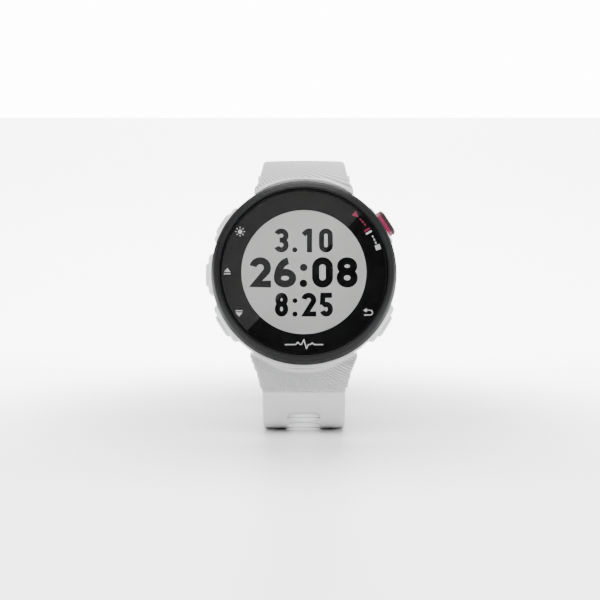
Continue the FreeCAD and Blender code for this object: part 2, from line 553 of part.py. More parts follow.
def battery():
    return softened(block(CELL_W, CELL_L, CELL_TOP, CELL_BOTTOM, 0, CELL_Y), 0.8, is_upright)


def battery_tab():
    """The flat lead from the cell up to the board."""
    top = BOARD_BOTTOM + 0.02
    foot = block(TAB_W, 1.2, top, BOARD_BOTTOM + TAB_T, TAB_X, TAB_Y + 0.65)
    drop = block(TAB_W, TAB_T, top, CELL_TOP + 1.25, TAB_X, TAB_Y)
    return foot.fuse(drop).removeSplitter()


# --- Spring bars --------------------------------------------------------------------------------------------------
def spring_bar():
    """A tube with one fixed tip; the other end holds the sliding tip and is slotted for its lever."""
    tube = cross_rod(BAR_R, -TUBE_END, TUBE_END, BAR)
    bore = cross_rod(TUBE_BORE_R, *TUBE_BORE_X, BAR)
    mouth = cross_rod(TIP_R + 0.05, TUBE_BORE_X[1] - 0.3, TUBE_END + 0.4, BAR)
    slot = Part.makeBox(LEVER_SLOT[1] - LEVER_SLOT[0], 1.0, 2.0, side(LEVER_SLOT[0], BAR[0] + 2.0, BAR[1] - 0.5))
    return tube.fuse(cross_rod(TIP_R, -TIP_END, 0.1 - TUBE_END, BAR)).cut([bore, mouth, slot])


def release_lever():
    """The sliding tip with the small lever that a fingernail pulls."""
    base = cross_rod(SLIDER_R, *SLIDER_X, BAR)
    tip = cross_rod(TIP_R, SLIDER_X[1] - 0.05, TIP_END, BAR)
    lever = Part.makeCylinder(LEVER_R, LEVER_H + 0.1, side(LEVER_X, *BAR), V(0, 0, -1))
    knob = Part.makeSphere(KNOB_R, side(LEVER_X, BAR[0] + LEVER_H, BAR[1]))
    return base.fuse([tip, lever, knob])


# --- Straps -------------------------------------------------------------------------------------------------------
def flare(wide):
    """Plan of the wide end, a prism: half as wide as stated at the case, and down to the strap's width further out."""
    half = STRAP_W / 2
    spread, length = wide - half, FLARE_END - FLARE_TOP
    radius = (spread ** 2 + length ** 2) / (2 * spread)
    middle = math.asin(length / radius) / 2
    via = V(half + radius * (1 - math.cos(middle)), FLARE_END - radius * math.sin(middle), 0)
    right = Part.Arc(V(wide, FLARE_TOP, 0), via, V(half, FLARE_END, 0)).toShape()
    left = right.mirror(V(0, 0, 0), X_AXIS)
    low = FLARE_TOP - 2.5
    corners = [V(half, FLARE_END, 0), V(half, FLARE_END + 6, 0), V(-half, FLARE_END + 6, 0), V(-half, FLARE_END, 0)]
    feet = [V(-wide, FLARE_TOP, 0), V(-wide, low, 0), V(wide, low, 0), V(wide, FLARE_TOP, 0)]
    edges = [right, left]
    for points in (corners, feet):
        edges += [Part.LineSegment(a, b).toShape() for a, b in zip(points, points[1:])]
    face = Part.Face(Part.Wire(Part.__sortEdges__(edges)))
    face.translate(V(0, 0, -TALL / 2))
    return face.extrude(V(0, 0, TALL))


def strap_end(sheet_of, wide):
    """The thick end that turns on the spring bar, made at 12 o'clock: sheet_of(thickness, half width) gives its face."""
    half = STRAP_W / 2
    case = disc(CASE_R + CASE_GAP, -5, CASE_BOTTOM + 8)
    room, start = LUG_R + POCKET_GAP, KNUCKLE_W / 2 + 0.02
    pocket = Part.makeBox(POCKET_W, 8, 2 * room, side(start, BAR[0] + room, BAR[1] - 8))
    pocket = pocket.fuse(cross_rod(room, start, start + POCKET_W, BAR))
    pockets = [pocket, pocket.mirror(V(0, 0, 0), X_AXIS)]
    skin = sheet_of(SKIN_T, wide + 0.5).common(flare(wide))
    body = sheet_of(STRAP_T, half)
    cover = skin.fuse(body).cut([case] + pockets)
    knuckle = cross_rod(KNUCKLE_R, -KNUCKLE_W / 2, KNUCKLE_W / 2, BAR)
    bore = cross_rod(BAR_R + 0.03, -half - 3, half + 3, BAR)
    start, width, height, deep = LEVER_WINDOW
    window = Part.makeBox(width, height, deep, side(start, BAR[0] + deep, BAR[1] - height / 2))
    return cover.fuse(knuckle).cut([bore, window])


def bend_slab(place, centre):
    """A thin slab across the strap at a bend, square to the strap's face."""
    angle = math.degrees(math.atan2(place[1] - centre[1], place[0] - centre[0]))
    slab = Part.makeBox(TALL, 12, BEND_GAP, V(-TALL / 2, -6, -BEND_GAP / 2))
    slab.rotate(V(0, 0, 0), X_AXIS, angle - 90)
    slab.translate(side(0, *place))
    return slab


def corner_centre(ribbon, step):
    place, heading = ribbon.steps[step][2]
    return ribbon.at(ribbon.steps[step][1], place, heading)


def two_parts(solid, slab, is_front):
    """The pieces of a strap before and behind its bend."""
    pieces = solid.cut(slab).Solids
    pieces.sort(key=lambda s: -s.Volume)
    front = [p for p in pieces if is_front(p.CenterOfMass)]
    rear = [p for p in pieces if not is_front(p.CenterOfMass)]
    return front[0], rear[0]


def upper_strap():
    """Both parts of the short strap, which ends in an eye for the buckle's pin."""
    half = STRAP_W / 2
    strap = UPPER.sheet(STRAP_T, half)
    eye = cross_rod(EYE_R, -half, half, PIN)
    room = TONGUE_W / 2 + TONGUE_GAP
    notch = Part.makeBox(2 * room, 2 * EYE_R + 1.2, 8, side(-room, PIN[0] + 4, PIN[1] - EYE_R - 1.0))
    strap = strap.fuse(eye)
    end = strap_end(lambda t, w: UPPER.sheet(t, w, 0, 3), UPPER_FLARE)
    strap = strap.cut(block(TALL, 30, -5, UPPER_ROOT, 0, 30)).fuse(end.common(block(TALL, 60, -5, UPPER_ROOT, 0, 30)))
    strap = strap.cut([notch, cross_rod(PIN_R + 0.03, -half - 1, half + 1, PIN)]).removeSplitter()
    return two_parts(strap, bend_slab(UPPER_BEND, corner_centre(UPPER, UPPER_CORNER)), lambda c: c.y > UPPER_BEND[1])


def slot_cutter(distance):
    """A rounded slot through the strap, at a distance along its middle."""
    place, heading = LOWER.spot(distance, STRAP_T / 2)
    cutter = Part.makeBox(SLOT_W, SLOT_H, 8, V(-SLOT_W / 2, -SLOT_H / 2, -4))
    cutter = softened(cutter, SLOT_ROUND, is_upright)
    cutter.rotate(V(0, 0, 0), X_AXIS, heading - 90)
    cutter.translate(side(0, *place))
    return cutter


def tongue_distance():
    """How far along the lower strap the tongue's slot is."""
    straight_start = LOWER.steps[LOWER_TAIL][2][0][1]
    return LOWER.middle_length(LOWER_TAIL) + PIN_H + SLOT_OFFSET - straight_start


def lower_strap():
    """Both parts of the long strap, with its row of slots and rounded tip."""
    half = STRAP_W / 2
    strap = LOWER.sheet(STRAP_T, half)
    end = strap_end(lambda t, w: mirrored(LOWER.sheet(t, w, 0, 4)), LOWER_FLARE)
    strap = strap.cut(block(TALL, 40, -5, LOWER_ROOT, 0, -34))
    strap = strap.fuse(mirrored(end).common(block(TALL, 60, -5, LOWER_ROOT, 0, -34)))
    tip = LOWER.place[1]
    near, far = INNER_LAYER - 12, TAIL_OUT + 5
    nose = Part.makeCylinder(TIP_NOSE_R, 20, V(0, tip - TIP_NOSE_R, -far))
    keep = nose.fuse(block(TALL, TALL, near, far, 0, tip - TIP_SIDE - TALL / 2))
    tail_zone = block(TALL, TALL / 2, near, far, 0, tip + TALL / 8)
    strap = strap.cut(tail_zone.cut(keep))
    first = tongue_distance()
    slots = [slot_cutter(first + SLOT_PITCH * k) for k in range(-SLOTS_BELOW, SLOTS_ABOVE + 1)]
    strap = strap.cut(slots).removeSplitter()
    slab = bend_slab(LOWER_BEND, corner_centre(LOWER, LOWER_CORNER))
    return two_parts(strap, slab, lambda c: c.z > -LOWER_BEND[0] + 4)


# --- Buckle and keeper --------------------------------------------------------------------------------------------
def profile_bar(points, x0, x1):
    """A prism across X from side-view points."""
    wire = Part.makePolygon([side(x0, *p) for p in points + points[:1]])
    return Part.Face(wire).extrude(V(x1 - x0, 0, 0))


def frame_bar_place():
    return TAIL_OUT + TAIL_CLEAR, PIN_H - BAR_DROP


def buckle_frame():
    """Two cheeks from the pin and a cross bar outside the tail, with a seat for the tongue's tip."""
    front, low = frame_bar_place()
    cheek = [(PIN[0] - 1.5, PIN[1] - 0.9), (PIN[0] - 1.5, PIN[1] + 1.2), (PIN[0] + 0.9, PIN[1] + 1.6),
             (front + FRAME_BAR_T, low + FRAME_BAR_H), (front + FRAME_BAR_T, low), (front - 0.9, low)]
    bar = Part.makeBox(2 * FRAME_OUT, FRAME_BAR_H, FRAME_BAR_T, side(-FRAME_OUT, front + FRAME_BAR_T, low))
    cheeks = [profile_bar(cheek, a, b) for a, b in ((FRAME_IN, FRAME_OUT), (-FRAME_OUT, -FRAME_IN))]
    frame = bar.fuse(cheeks).removeSplitter()
    frame = softened(frame, FRAME_ROUND, lambda e: abs(abs(e.CenterOfMass.x) - FRAME_OUT) < EPS and e.Length > 1)
    room = TONGUE_W / 2 + TONGUE_GAP
    seat = Part.makeBox(2 * room, FRAME_BAR_H + 2, 2, side(-room, front + FRAME_BAR_T + 1.1, low - 1))
    holes = cross_rod(PIN_R + 0.03, PIN_SKIN - FRAME_OUT, FRAME_OUT - PIN_SKIN, PIN)
    return frame.cut([seat, holes])


def buckle_tongue():
    """Ring on the pin, a leg out through the slot, then a blade down to the cross bar's seat."""
    front, low = frame_bar_place()
    half, rest = TONGUE_T / 2, front + FRAME_BAR_T - 0.88
    outline = [(PIN[0], PIN[1] - half), (TAIL_OUT + 0.25, PIN[1] - half), (rest, low + FRAME_BAR_H + 0.3),
               (rest, low - 0.4), (rest + TONGUE_T, low - 0.4), (rest + TONGUE_T, low + FRAME_BAR_H + 0.5),
               (TAIL_OUT + 1.1, PIN[1] + half), (PIN[0], PIN[1] + half)]
    blade = profile_bar(outline, -TONGUE_W / 2, TONGUE_W / 2)
    ring_out = cross_rod(TONGUE_RING_R, -TONGUE_W / 2, TONGUE_W / 2, PIN)
    return blade.fuse(ring_out).cut(cross_rod(PIN_R + 0.04, -TONGUE_W, TONGUE_W, PIN)).removeSplitter()


def buckle_pin():
    end = FRAME_OUT - PIN_SKIN - 0.1
    return cross_rod(PIN_R, -end, end, PIN)


def strap_keeper():
    """The loop that holds the tail flat on the other strap."""
    inner_face, outer_face = INNER_LAYER - STRAP_T - KEEPER_ROOM, TAIL_OUT + KEEPER_ROOM
    half = STRAP_W / 2 + KEEPER_ROOM + 0.05

    def shell(grow, radius):
        box = Part.makeBox(2 * (half + grow), KEEPER_L, outer_face - inner_face + 2 * grow,
                           side(-half - grow, outer_face + grow, KEEPER_H - KEEPER_L / 2))
        return softened(box, radius, lambda e: abs(e.Length - KEEPER_L) < EPS)
    return shell(KEEPER_T, KEEPER_ROUND).cut(shell(0, KEEPER_BORE_ROUND))


# --- Assembly -----------------------------------------------------------------------------------------------------
def all_parts():
    arch, short_end = upper_strap()
    long_run, tail = lower_strap()
    parts = {
        "bezel": bezel(),
        "lens_glass": lens_glass(),
        "lens_mask": ring(GLASS_R - 0.1, VIEW_R, GLASS_BOTTOM, GLASS_BOTTOM + MASK_T),
        "lens_adhesive": ring(GLASS_R - 0.1, ADHESIVE_IN_R, GLASS_BOTTOM + MASK_T, LEDGE_TOP),
        "display_panel": disc(DISPLAY_R, GLASS_BOTTOM + MASK_T + 0.02, PANEL_BOTTOM),
        "display_backlight": disc(DISPLAY_R, PANEL_BOTTOM, BACKLIGHT_BOTTOM),
        "display_tray": display_tray(),
        "display_ribbon_cable": display_ribbon_cable(),
        "gps_antenna": gps_antenna(),
        "case_body": case_body(),
        "main_board": main_board(),
        "board_shield": board_shield(),
        "board_chips": board_chips(),
        "battery": battery(),
        "battery_tab": battery_tab(),
        "vibration_motor": disc(MOTOR_R, MOTOR_TOP, MOTOR_BOTTOM, 0, MOTOR_Y),
        "buzzer": disc(BUZZER_R, BUZZER_TOP, BUZZER_BOTTOM, 0, MOTOR_Y),
        "tact_switches": tact_switches(),
        "switch_flex": switch_flex(),
        "back_cover": back_cover(),
        "back_seal": back_seal(),
        "back_screws": back_screws(),
        "screw_inserts": screw_inserts(),
        "charge_contacts": charge_contacts(),
        "sensor_board": disc(SENSOR_R - 0.2, SEAT_BOTTOM + 0.3, SENSOR_TOP - 0.05),
        "sensor_lights": sensor_lights(),
        "sensor_receiver": block(RECEIVER_SIZE, RECEIVER_SIZE, SENSOR_TOP, BAFFLE_BOTTOM - 0.1),
        "sensor_baffle": sensor_baffle(),
        "sensor_window": sensor_window(),
        "spring_bar_upper": spring_bar(),
        "spring_bar_lower": mirrored(spring_bar()),
        "release_lever_upper": release_lever(),
        "release_lever_lower": mirrored(release_lever()),
        "strap_short_arch": arch,
        "strap_short_end": short_end,
        "strap_long_run": long_run,
        "strap_long_tail": tail,
        "strap_keeper": strap_keeper(),
        "buckle_frame": buckle_frame(),
        "buckle_tongue": buckle_tongue(),
        "buckle_pin": buckle_pin(),
    }
    for name, angle in BUTTONS.items():
        parts[f"{name}_button"] = button(name)
        parts[f"{name}_button_seal"] = button_seal(angle)
        parts[f"{name}_button_clip"] = button_clip(angle)
    return parts


def report_joints():
    """Prints the places and directions, in the standing frame, that the joints and mounts use."""
    marks = {
        "upper bar": side(0, *BAR), "lower bar": side(0, BAR[0], -BAR[1]),
        "upper bend": side(0, *UPPER_BEND), "lower bend": side(0, *LOWER_BEND), "buckle pin": side(0, *PIN),
        "case back": side(0, WINDOW_BOTTOM, 0), "charge port": V(PORT_X, 0, -COVER_BOTTOM),
    }
    for name, point in marks.items():
        p = stood(Part.Vertex(point)).Point
        print(f"{name}: {p.x:.4f} {p.y:.4f} {p.z:.4f}")
    turn = FreeCAD.Rotation(X_AXIS, 90 - LEAN)
    for name, angle in BUTTONS.items():
        a = math.radians(angle)
        d = turn.multVec(V(-math.cos(a), -math.sin(a), 0))
        print(f"{name} press: {d.x:.6f} {d.y:.6f} {d.z:.6f}")
    for name, d in (("dial", V(0, 0, 1)), ("12 o'clock", V(0, 1, 0))):
        d = turn.multVec(d)
        print(f"{name}: {d.x:.6f} {d.y:.6f} {d.z:.6f}")
    print(f"upper strap {UPPER.middle_length():.1f} mm, lower strap {LOWER.middle_length():.1f} mm")


def main():
    os.makedirs("parts", exist_ok=True)
    for name, shape in all_parts().items():
        stood(shape).exportStep(f"parts/{name}.step")
    report_joints()


main()
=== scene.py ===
"""Looks of a white GPS running watch, standing on its buckled silicone band.

Pieces are modelled in the watch's own frame in millimetres, X to 3 o'clock, Y to 12 o'clock and Z out of the glass
with the bezel's rim at Z = 0, then placed in the row frame in metres. In side view a place is (depth, height).
"""

import json
import math

import bpy
import numpy as np
from mathutils import Matrix, Vector

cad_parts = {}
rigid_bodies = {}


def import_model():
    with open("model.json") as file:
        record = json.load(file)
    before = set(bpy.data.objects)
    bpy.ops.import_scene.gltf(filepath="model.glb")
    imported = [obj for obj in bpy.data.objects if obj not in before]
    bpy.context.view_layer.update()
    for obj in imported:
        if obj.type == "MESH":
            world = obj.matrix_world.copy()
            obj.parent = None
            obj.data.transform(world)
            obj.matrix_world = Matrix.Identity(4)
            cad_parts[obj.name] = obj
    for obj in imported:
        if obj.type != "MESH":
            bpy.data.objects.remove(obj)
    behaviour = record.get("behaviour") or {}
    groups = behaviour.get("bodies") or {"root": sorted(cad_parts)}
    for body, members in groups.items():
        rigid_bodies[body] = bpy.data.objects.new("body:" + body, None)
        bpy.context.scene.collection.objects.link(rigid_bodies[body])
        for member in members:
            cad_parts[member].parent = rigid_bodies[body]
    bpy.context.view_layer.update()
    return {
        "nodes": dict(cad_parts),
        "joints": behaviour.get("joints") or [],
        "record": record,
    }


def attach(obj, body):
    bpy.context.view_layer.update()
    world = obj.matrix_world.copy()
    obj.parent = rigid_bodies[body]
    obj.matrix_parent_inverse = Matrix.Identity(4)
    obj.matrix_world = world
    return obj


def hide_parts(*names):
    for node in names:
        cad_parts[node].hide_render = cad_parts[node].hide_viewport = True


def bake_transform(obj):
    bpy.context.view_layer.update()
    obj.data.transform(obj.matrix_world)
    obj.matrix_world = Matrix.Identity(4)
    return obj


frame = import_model()

# --- Sizes, in millimetres ----------------------------------------------------------------------------------------
LEAN = math.radians(14)
BEZEL_R, BEZEL_FOOT_R, LIP_R, CASE_TOP = 19.75, 19.35, 17.75, 3.5
GLASS_R, GLASS_TOP, GLASS_BOTTOM = 17.6, 0.2, 1.44
PRINT_DEPTH, MASK_DEPTH, PANEL_DEPTH = 1.49, 1.5, 1.58
VIEW_R = 13.2
BUTTON_DEPTH = 6.3
BUTTONS = {"start": 32.5, "light": 147.5, "up": 180.0, "down": 212.5, "back": -32.5}

BAR = (8.2, 20.6)                    # spring bar: depth, height
LIP, SHOULDER_R, APRON = (4.3, 20.7), 4.5, 3.2
STRAP_T, STRAP_W = 2.2, 17.6
THIN_T = 1.35                        # the strap over the lugs
CASE_CLEAR = 20.03                   # radius that the strap's end follows round the case
UPPER_FLARE, LOWER_FLARE, FLARE_TOP, FLARE_END = 10.6, 11.3, 17.2, 29.0
CREST, CROWN_R, CORNER_R = (20.0, 27.2), 60.0, 11.0
INNER_LAYER, LAYER_GAP = 54.4, 0.15
DROP_ANGLE, DROP_RUN, FOOT_R, FOOT_RUN, SOLE_R = 70.0, 3.8, 11.9, 15.0, 80.0
CAP_IN_R = 19.42                     # radius of a button cap's flat underside
START_CAP, PLAIN_CAP = (5.9, 21.7), (5.2, 21.0)   # length and outer radius of a button's cap
DARK_FACE_DEPTH = 1.0                      # how deep the start cap's darker outer face reaches
TAIL_TURN, PIN_HEIGHT, KEEPER_HEIGHT = 14.0, -4.5, 3.5
BAR_DROP = 8.1                       # from the buckle pin down to the frame's cross bar
EYE_R, PIN_R, KNUCKLE_R, KNUCKLE_HALF, BAR_R = 1.65, 0.73, 1.9, 7.9, 0.93
PIN = (INNER_LAYER - EYE_R, PIN_HEIGHT)   # the buckle pin: depth, height
PIVOT_RUN = (42.5, -1.6)
BOW_REACH = 5.0                      # least length over which a strap's rows ease out of the case's curve
BLEND_HALF = 4.0                     # how far before and after a strap's pivot bend_ends puts its two points
SLOT_PITCH, SLOT_L, SLOT_W, SLOTS_BELOW, SLOTS_ABOVE, SLOT_OFFSET = 3.55, 2.2, 6.5, 17, 3, 0.55

MM = 0.001
RIGHT_TO_ROW = Matrix.Rotation(math.pi / 2 - LEAN, 4, "X")
JOINTS = {j["name"]: j for j in frame["joints"]}
ORIGIN = Vector(JOINTS["strap_rock"]["pos_m"]) - RIGHT_TO_ROW @ Vector((0, -BAR[1], -BAR[0])) * MM
TO_ROW = Matrix.Translation(ORIGIN) @ RIGHT_TO_ROW @ Matrix.Scale(MM, 4)


# --- Materials ----------------------------------------------------------------------------------------------------
def colour(hex_code):
    """A material colour from its sRGB hex code."""
    channels = [int(hex_code[i:i + 2], 16) / 255 for i in (0, 2, 4)]
    return [c / 12.92 if c <= 0.04045 else ((c + 0.055) / 1.055) ** 2.4 for c in channels] + [1.0]


class Finish:
    """A material around one Principled shader, with a helper that adds a node and links its inputs."""

    def __init__(self, name, base, roughness, **sockets):
        self.material = bpy.data.materials.new(name)
        self.material.use_nodes = True
        self.tree = self.material.node_tree
        self.shader = self.tree.nodes["Principled BSDF"]
        self.base = colour(base)
        self.set("Base Color", self.base)
        self.set("Roughness", roughness)
        for socket, value in sockets.items():
            self.set(socket.replace("_", " "), value)

    def set(self, socket, value):
        if isinstance(value, bpy.types.NodeSocket):
            self.tree.links.new(value, self.shader.inputs[socket])
        else:
            self.shader.inputs[socket].default_value = value

    def add(self, kind, inputs=None, **settings):
        node = self.tree.nodes.new("ShaderNode" + kind)
        for key, value in settings.items():
            setattr(node, key, value)
        for key, value in (inputs or {}).items():
            if isinstance(value, bpy.types.NodeSocket):
                self.tree.links.new(value, node.inputs[key])
            else:
                node.inputs[key].default_value = value
        return node

    def place(self):
        return self.add("TexCoord").outputs["Object"]

    def noise(self, size_mm, detail=3.0):
        return self.add("TexNoise", {"Vector": self.place(), "Scale": 1 / (size_mm * MM), "Detail": detail}).outputs[0]

    def grain(self, size_mm, depth_mm, round_edges=0.0):
        """Fine surface relief; round_edges softens a hard edge's shading by that radius."""
        bump = self.add("Bump", {"Height": self.noise(size_mm), "Distance": depth_mm * MM, "Strength": 1.0})
        if round_edges:
            bevel = self.add("Bevel", {"Radius": round_edges * MM}, samples=4)
            self.tree.links.new(bevel.outputs[0], bump.inputs["Normal"])
        self.set("Normal", bump.outputs[0])
        return self

    def mottle(self, size_mm, amount, rough_amount=0.0):
        """Slow, slight changes of lightness and roughness."""
        value = self.noise(size_mm, 2.0)
        low = [c * (1 - amount) for c in self.base[:3]] + [1.0]
        mix = self.add("Mix", {0: value, 6: low, 7: self.base}, data_type="RGBA")
        self.set("Base Color", mix.outputs[2])
        if rough_amount:
            rough = self.shader.inputs["Roughness"].default_value
            ramp = self.add("MapRange", {"Value": value, "To Min": rough - rough_amount, "To Max": rough + rough_amount})
            self.set("Roughness", ramp.outputs[0])
        return self

    def paint_groove_shade(self, label, amount):
        """Paints shade into the bottoms of fine grooves, darker where deeper; their depth from 0 to 1 is kept on the
        mesh.
        """
        depth = self.add("Attribute", attribute_name=label).outputs["Fac"]
        fraction = self.add("Math", {0: depth, 1: amount}, operation="MULTIPLY").outputs[0]
        shade = self.add("Mix", {0: fraction, 7: [0.0, 0.0, 0.0, 1.0]}, data_type="RGBA")
        source = self.shader.inputs["Base Color"].links[0].from_socket
        self.tree.links.new(source, shade.inputs[6])
        self.set("Base Color", shade.outputs[2])
        return self


def finishes():
    """One material for each of the record's slots, and a few more for printed marks."""
    made = {
        # fine-grained fibre-filled polymer
        "bezel_polymer": Finish("satin black fibre polymer", "0b0c0d", 0.45, Specular_IOR_Level=0.2).grain(
            0.06, 0.004).mottle(2.5, 0.06, 0.03),
        # chemically strengthened glass
        "lens": Finish("strengthened glass", "ffffff", 0.01, Transmission_Weight=1.0, IOR=1.5),
        "mask_ink": Finish("black screen ink", "020203", 0.7, Specular_IOR_Level=0.1).mottle(3, 0.1),
        "adhesive": Finish("black foam adhesive", "141414", 0.9).grain(0.1, 0.02),
        "display_film": Finish("reflective polariser film", "c4c5c3", 0.5).mottle(0.13, 0.035).grain(0.13, 0.002),
        "backlight_film": Finish("white diffuser film", "e8eae6", 0.5).mottle(1, 0.03),
        "tray_polymer": Finish("black moulded polymer", "1c1c1e", 0.55).grain(0.08, 0.004),
        "ribbon_polyimide": Finish("amber polyimide", "b86b1e", 0.3, Transmission_Weight=0.2).mottle(1, 0.1),
        "antenna_metal": Finish("phosphor bronze", "c9a06a", 0.3, Metallic=1.0).mottle(0.5, 0.08, 0.05),
        # white glass-filled polymer with a moulded satin skin
        "case_polymer": Finish("white moulded case polymer", "d9dadc", 0.42).grain(0.05, 0.003, 0.12).mottle(
            3, 0.03, 0.03),
        "board_mask": Finish("green solder mask", "17402b", 0.35).mottle(0.4, 0.2, 0.05),
        "shield_metal": Finish("tinned steel", "b5b7b8", 0.35, Metallic=1.0).mottle(0.6, 0.08, 0.05),
        "chip_resin": Finish("black epoxy resin", "1a1a1c", 0.6).grain(0.05, 0.003),
        "cell_foil": Finish("aluminium pouch foil", "b9bcc0", 0.38, Metallic=1.0).grain(0.3, 0.01).mottle(1, 0.06),
        "nickel": Finish("nickel strip", "a8a9a6", 0.3, Metallic=1.0).mottle(0.4, 0.06, 0.05),
        "brass_insert": Finish("turned brass", "b99a55", 0.3, Metallic=1.0).mottle(0.3, 0.08, 0.06),
        "gold_contact": Finish("gold plating", "d9b45b", 0.22, Metallic=1.0).mottle(0.3, 0.06, 0.05),
        "switch_resin": Finish("black nylon", "242426", 0.5).grain(0.05, 0.003),
        "cover_polymer": Finish("white moulded back polymer", "cfd0d1", 0.4).grain(0.05, 0.003, 0.08).mottle(
            2, 0.03, 0.04),
        "seal_rubber": Finish("black nitrile rubber", "141414", 0.6).grain(0.05, 0.004),
        "stainless": Finish("brushed stainless steel", "c4c6c8", 0.28, Metallic=1.0).mottle(0.2, 0.1, 0.06),
        "sensor_tint": Finish("dark tinted sensor lens", "101216", 0.05, Coat_Weight=0.5).mottle(2, 0.2),
        "light_resin": Finish("clear green lamp resin", "9fd08a", 0.2, Transmission_Weight=0.4).mottle(0.2, 0.1),
        "receiver_resin": Finish("dark filter resin", "121418", 0.15).mottle(0.3, 0.1),
        "baffle_polymer": Finish("matt black baffle polymer", "101011", 0.7).grain(0.06, 0.004),
        "button_white": Finish("white moulded button polymer", "d4d5d9", 0.35).grain(0.05, 0.002).mottle(1, 0.03, 0.03),
        "button_red": Finish("red anodised button", "7b1f40", 0.3, Coat_Weight=0.4, Coat_Roughness=0.2).grain(
            0.04, 0.002).mottle(0.8, 0.08, 0.04),
        # soft-touch liquid silicone rubber, with painted shade in its rib grooves
        "strap_silicone": Finish("white liquid silicone rubber", "d3d3d4", 0.52, Subsurface_Weight=0.12,
                                 Subsurface_Radius=(0.8 * MM, 0.7 * MM, 0.6 * MM), Subsurface_Scale=1.0).grain(
            0.05, 0.004).mottle(4, 0.025, 0.04).paint_groove_shade("rib", 0.5),
        "buckle_polymer": Finish("white moulded buckle polymer", "cccdcf", 0.33).grain(0.05, 0.002, 0.08).mottle(
            2, 0.03, 0.03),
        "digit_ink": Finish("dark liquid crystal", "030304", 0.6, Specular_IOR_Level=0.1).mottle(0.13, 0.15),
        "white_ink": Finish("white screen ink", "d6d8d8", 0.5).mottle(0.3, 0.08),
        "pink_ink": Finish("pink screen ink", "9c1c4c", 0.5).mottle(0.3, 0.08),
        # a darker red for the outer face of the start cap
        "dark_red_face": Finish("dark red outer face", "2a0812", 0.45).grain(0.02, 0.001).mottle(0.8, 0.1, 0.04),
    }
    return {name: finish.material for name, finish in made.items()}


# --- Mesh helpers -------------------------------------------------------------------------------------------------
def piece(name, points, faces, slot, smooth=True):
    """A mesh from points in the watch's frame, in millimetres."""
    mesh = bpy.data.meshes.new(name)
    mesh.from_pydata([tuple(p) for p in points], [], [tuple(f) for f in faces])
    mesh.transform(TO_ROW)
    mesh.materials.append(FINISH[slot])
    obj = bpy.data.objects.new(name, mesh)
    bpy.context.collection.objects.link(obj)
    tidy(obj, smooth)
    return obj


def tidy(obj, smooth=True, angle=40):
    """Merges doubled points, turns the faces outwards and shades them smooth up to an angle."""
    select_only(obj)
    bpy.ops.object.mode_set(mode="EDIT")
    bpy.ops.mesh.select_all(action="SELECT")
    bpy.ops.mesh.remove_doubles(threshold=0.2e-6)
    bpy.ops.mesh.normals_make_consistent(inside=False)
    bpy.ops.object.mode_set(mode="OBJECT")
    if smooth:
        bpy.ops.object.shade_smooth_by_angle(angle=math.radians(angle))
    else:
        bpy.ops.object.shade_flat()


def select_only(*objs):
    bpy.ops.object.select_all(action="DESELECT")
    for obj in objs:
        obj.select_set(True)
    bpy.context.view_layer.objects.active = objs[0]


def joined(name, objs):
    select_only(*objs)
    bpy.ops.object.join()
    objs[0].name = name
    return objs[0]


def rounded(outline, steps=5):
    """Points of a closed outline of (x, y, corner radius)."""
    result = []
    count = len(outline)
    for k in range(count):
        corner = Vector(outline[k][:2])
        radius = outline[k][2]
        before = (Vector(outline[k - 1][:2]) - corner).normalized()
        after = (Vector(outline[(k + 1) % count][:2]) - corner).normalized()
        if radius == 0:
            result.append(corner)
            continue
        half = before.angle(after) / 2
        reach = radius / math.tan(half)
        centre = corner + (before + after).normalized() * radius / math.sin(half)
        start, end = corner + before * reach - centre, corner + after * reach - centre
        turn = start.angle_signed(end)
        for s in range(steps + 1):
            a = -turn * s / steps
            result.append(centre + Vector((start.x * math.cos(a) - start.y * math.sin(a),
                                           start.x * math.sin(a) + start.y * math.cos(a))))
    return result


def lathe(name, outline, slot, segments=288, steps=5, stretch=None):
    """A ring about the dial's axis from an outline of (radius, depth, corner radius), or a stretch of it in degrees."""
    section = rounded(outline, steps)
    count = len(section)
    first, last = (math.radians(a) for a in stretch or (0, 360))
    points, faces = [], []
    for s in range(segments):
        a = first + (last - first) * s / (segments - 1 if stretch else segments)
        points += [(p.x * math.cos(a), p.x * math.sin(a), -p.y) for p in section]
        if stretch and s == segments - 1:
            break
        here, there = s * count, (s + 1) % segments * count
        faces += [(here + k, here + (k + 1) % count, there + (k + 1) % count, there + k) for k in range(count)]
    if stretch:
        faces += [list(range(count)), list(reversed(range(len(points) - count, len(points))))]
    return piece(name, points, faces, slot)


def round_plate(name, top, bottom, radius, edge, slot, segments=288):
    """A disc with rounded edges and flat faces."""
    section = rounded([(radius - 2 * edge, top, 0), (radius, top, edge), (radius, bottom, edge),
                       (radius - 2 * edge, bottom, 0)])
    count = len(section)
    points = [(p.x * math.cos(a), p.x * math.sin(a), -p.y)
              for a in np.linspace(0, 2 * math.pi, segments, endpoint=False) for p in section]
    faces = []
    for s in range(segments):
        here, there = s * count, (s + 1) % segments * count
        faces += [(here + k, here + k + 1, there + k + 1, there + k) for k in range(count - 1)]
    faces.append([s * count for s in range(segments)])
    faces.append([s * count + count - 1 for s in reversed(range(segments))])
    return piece(name, points, faces, slot)


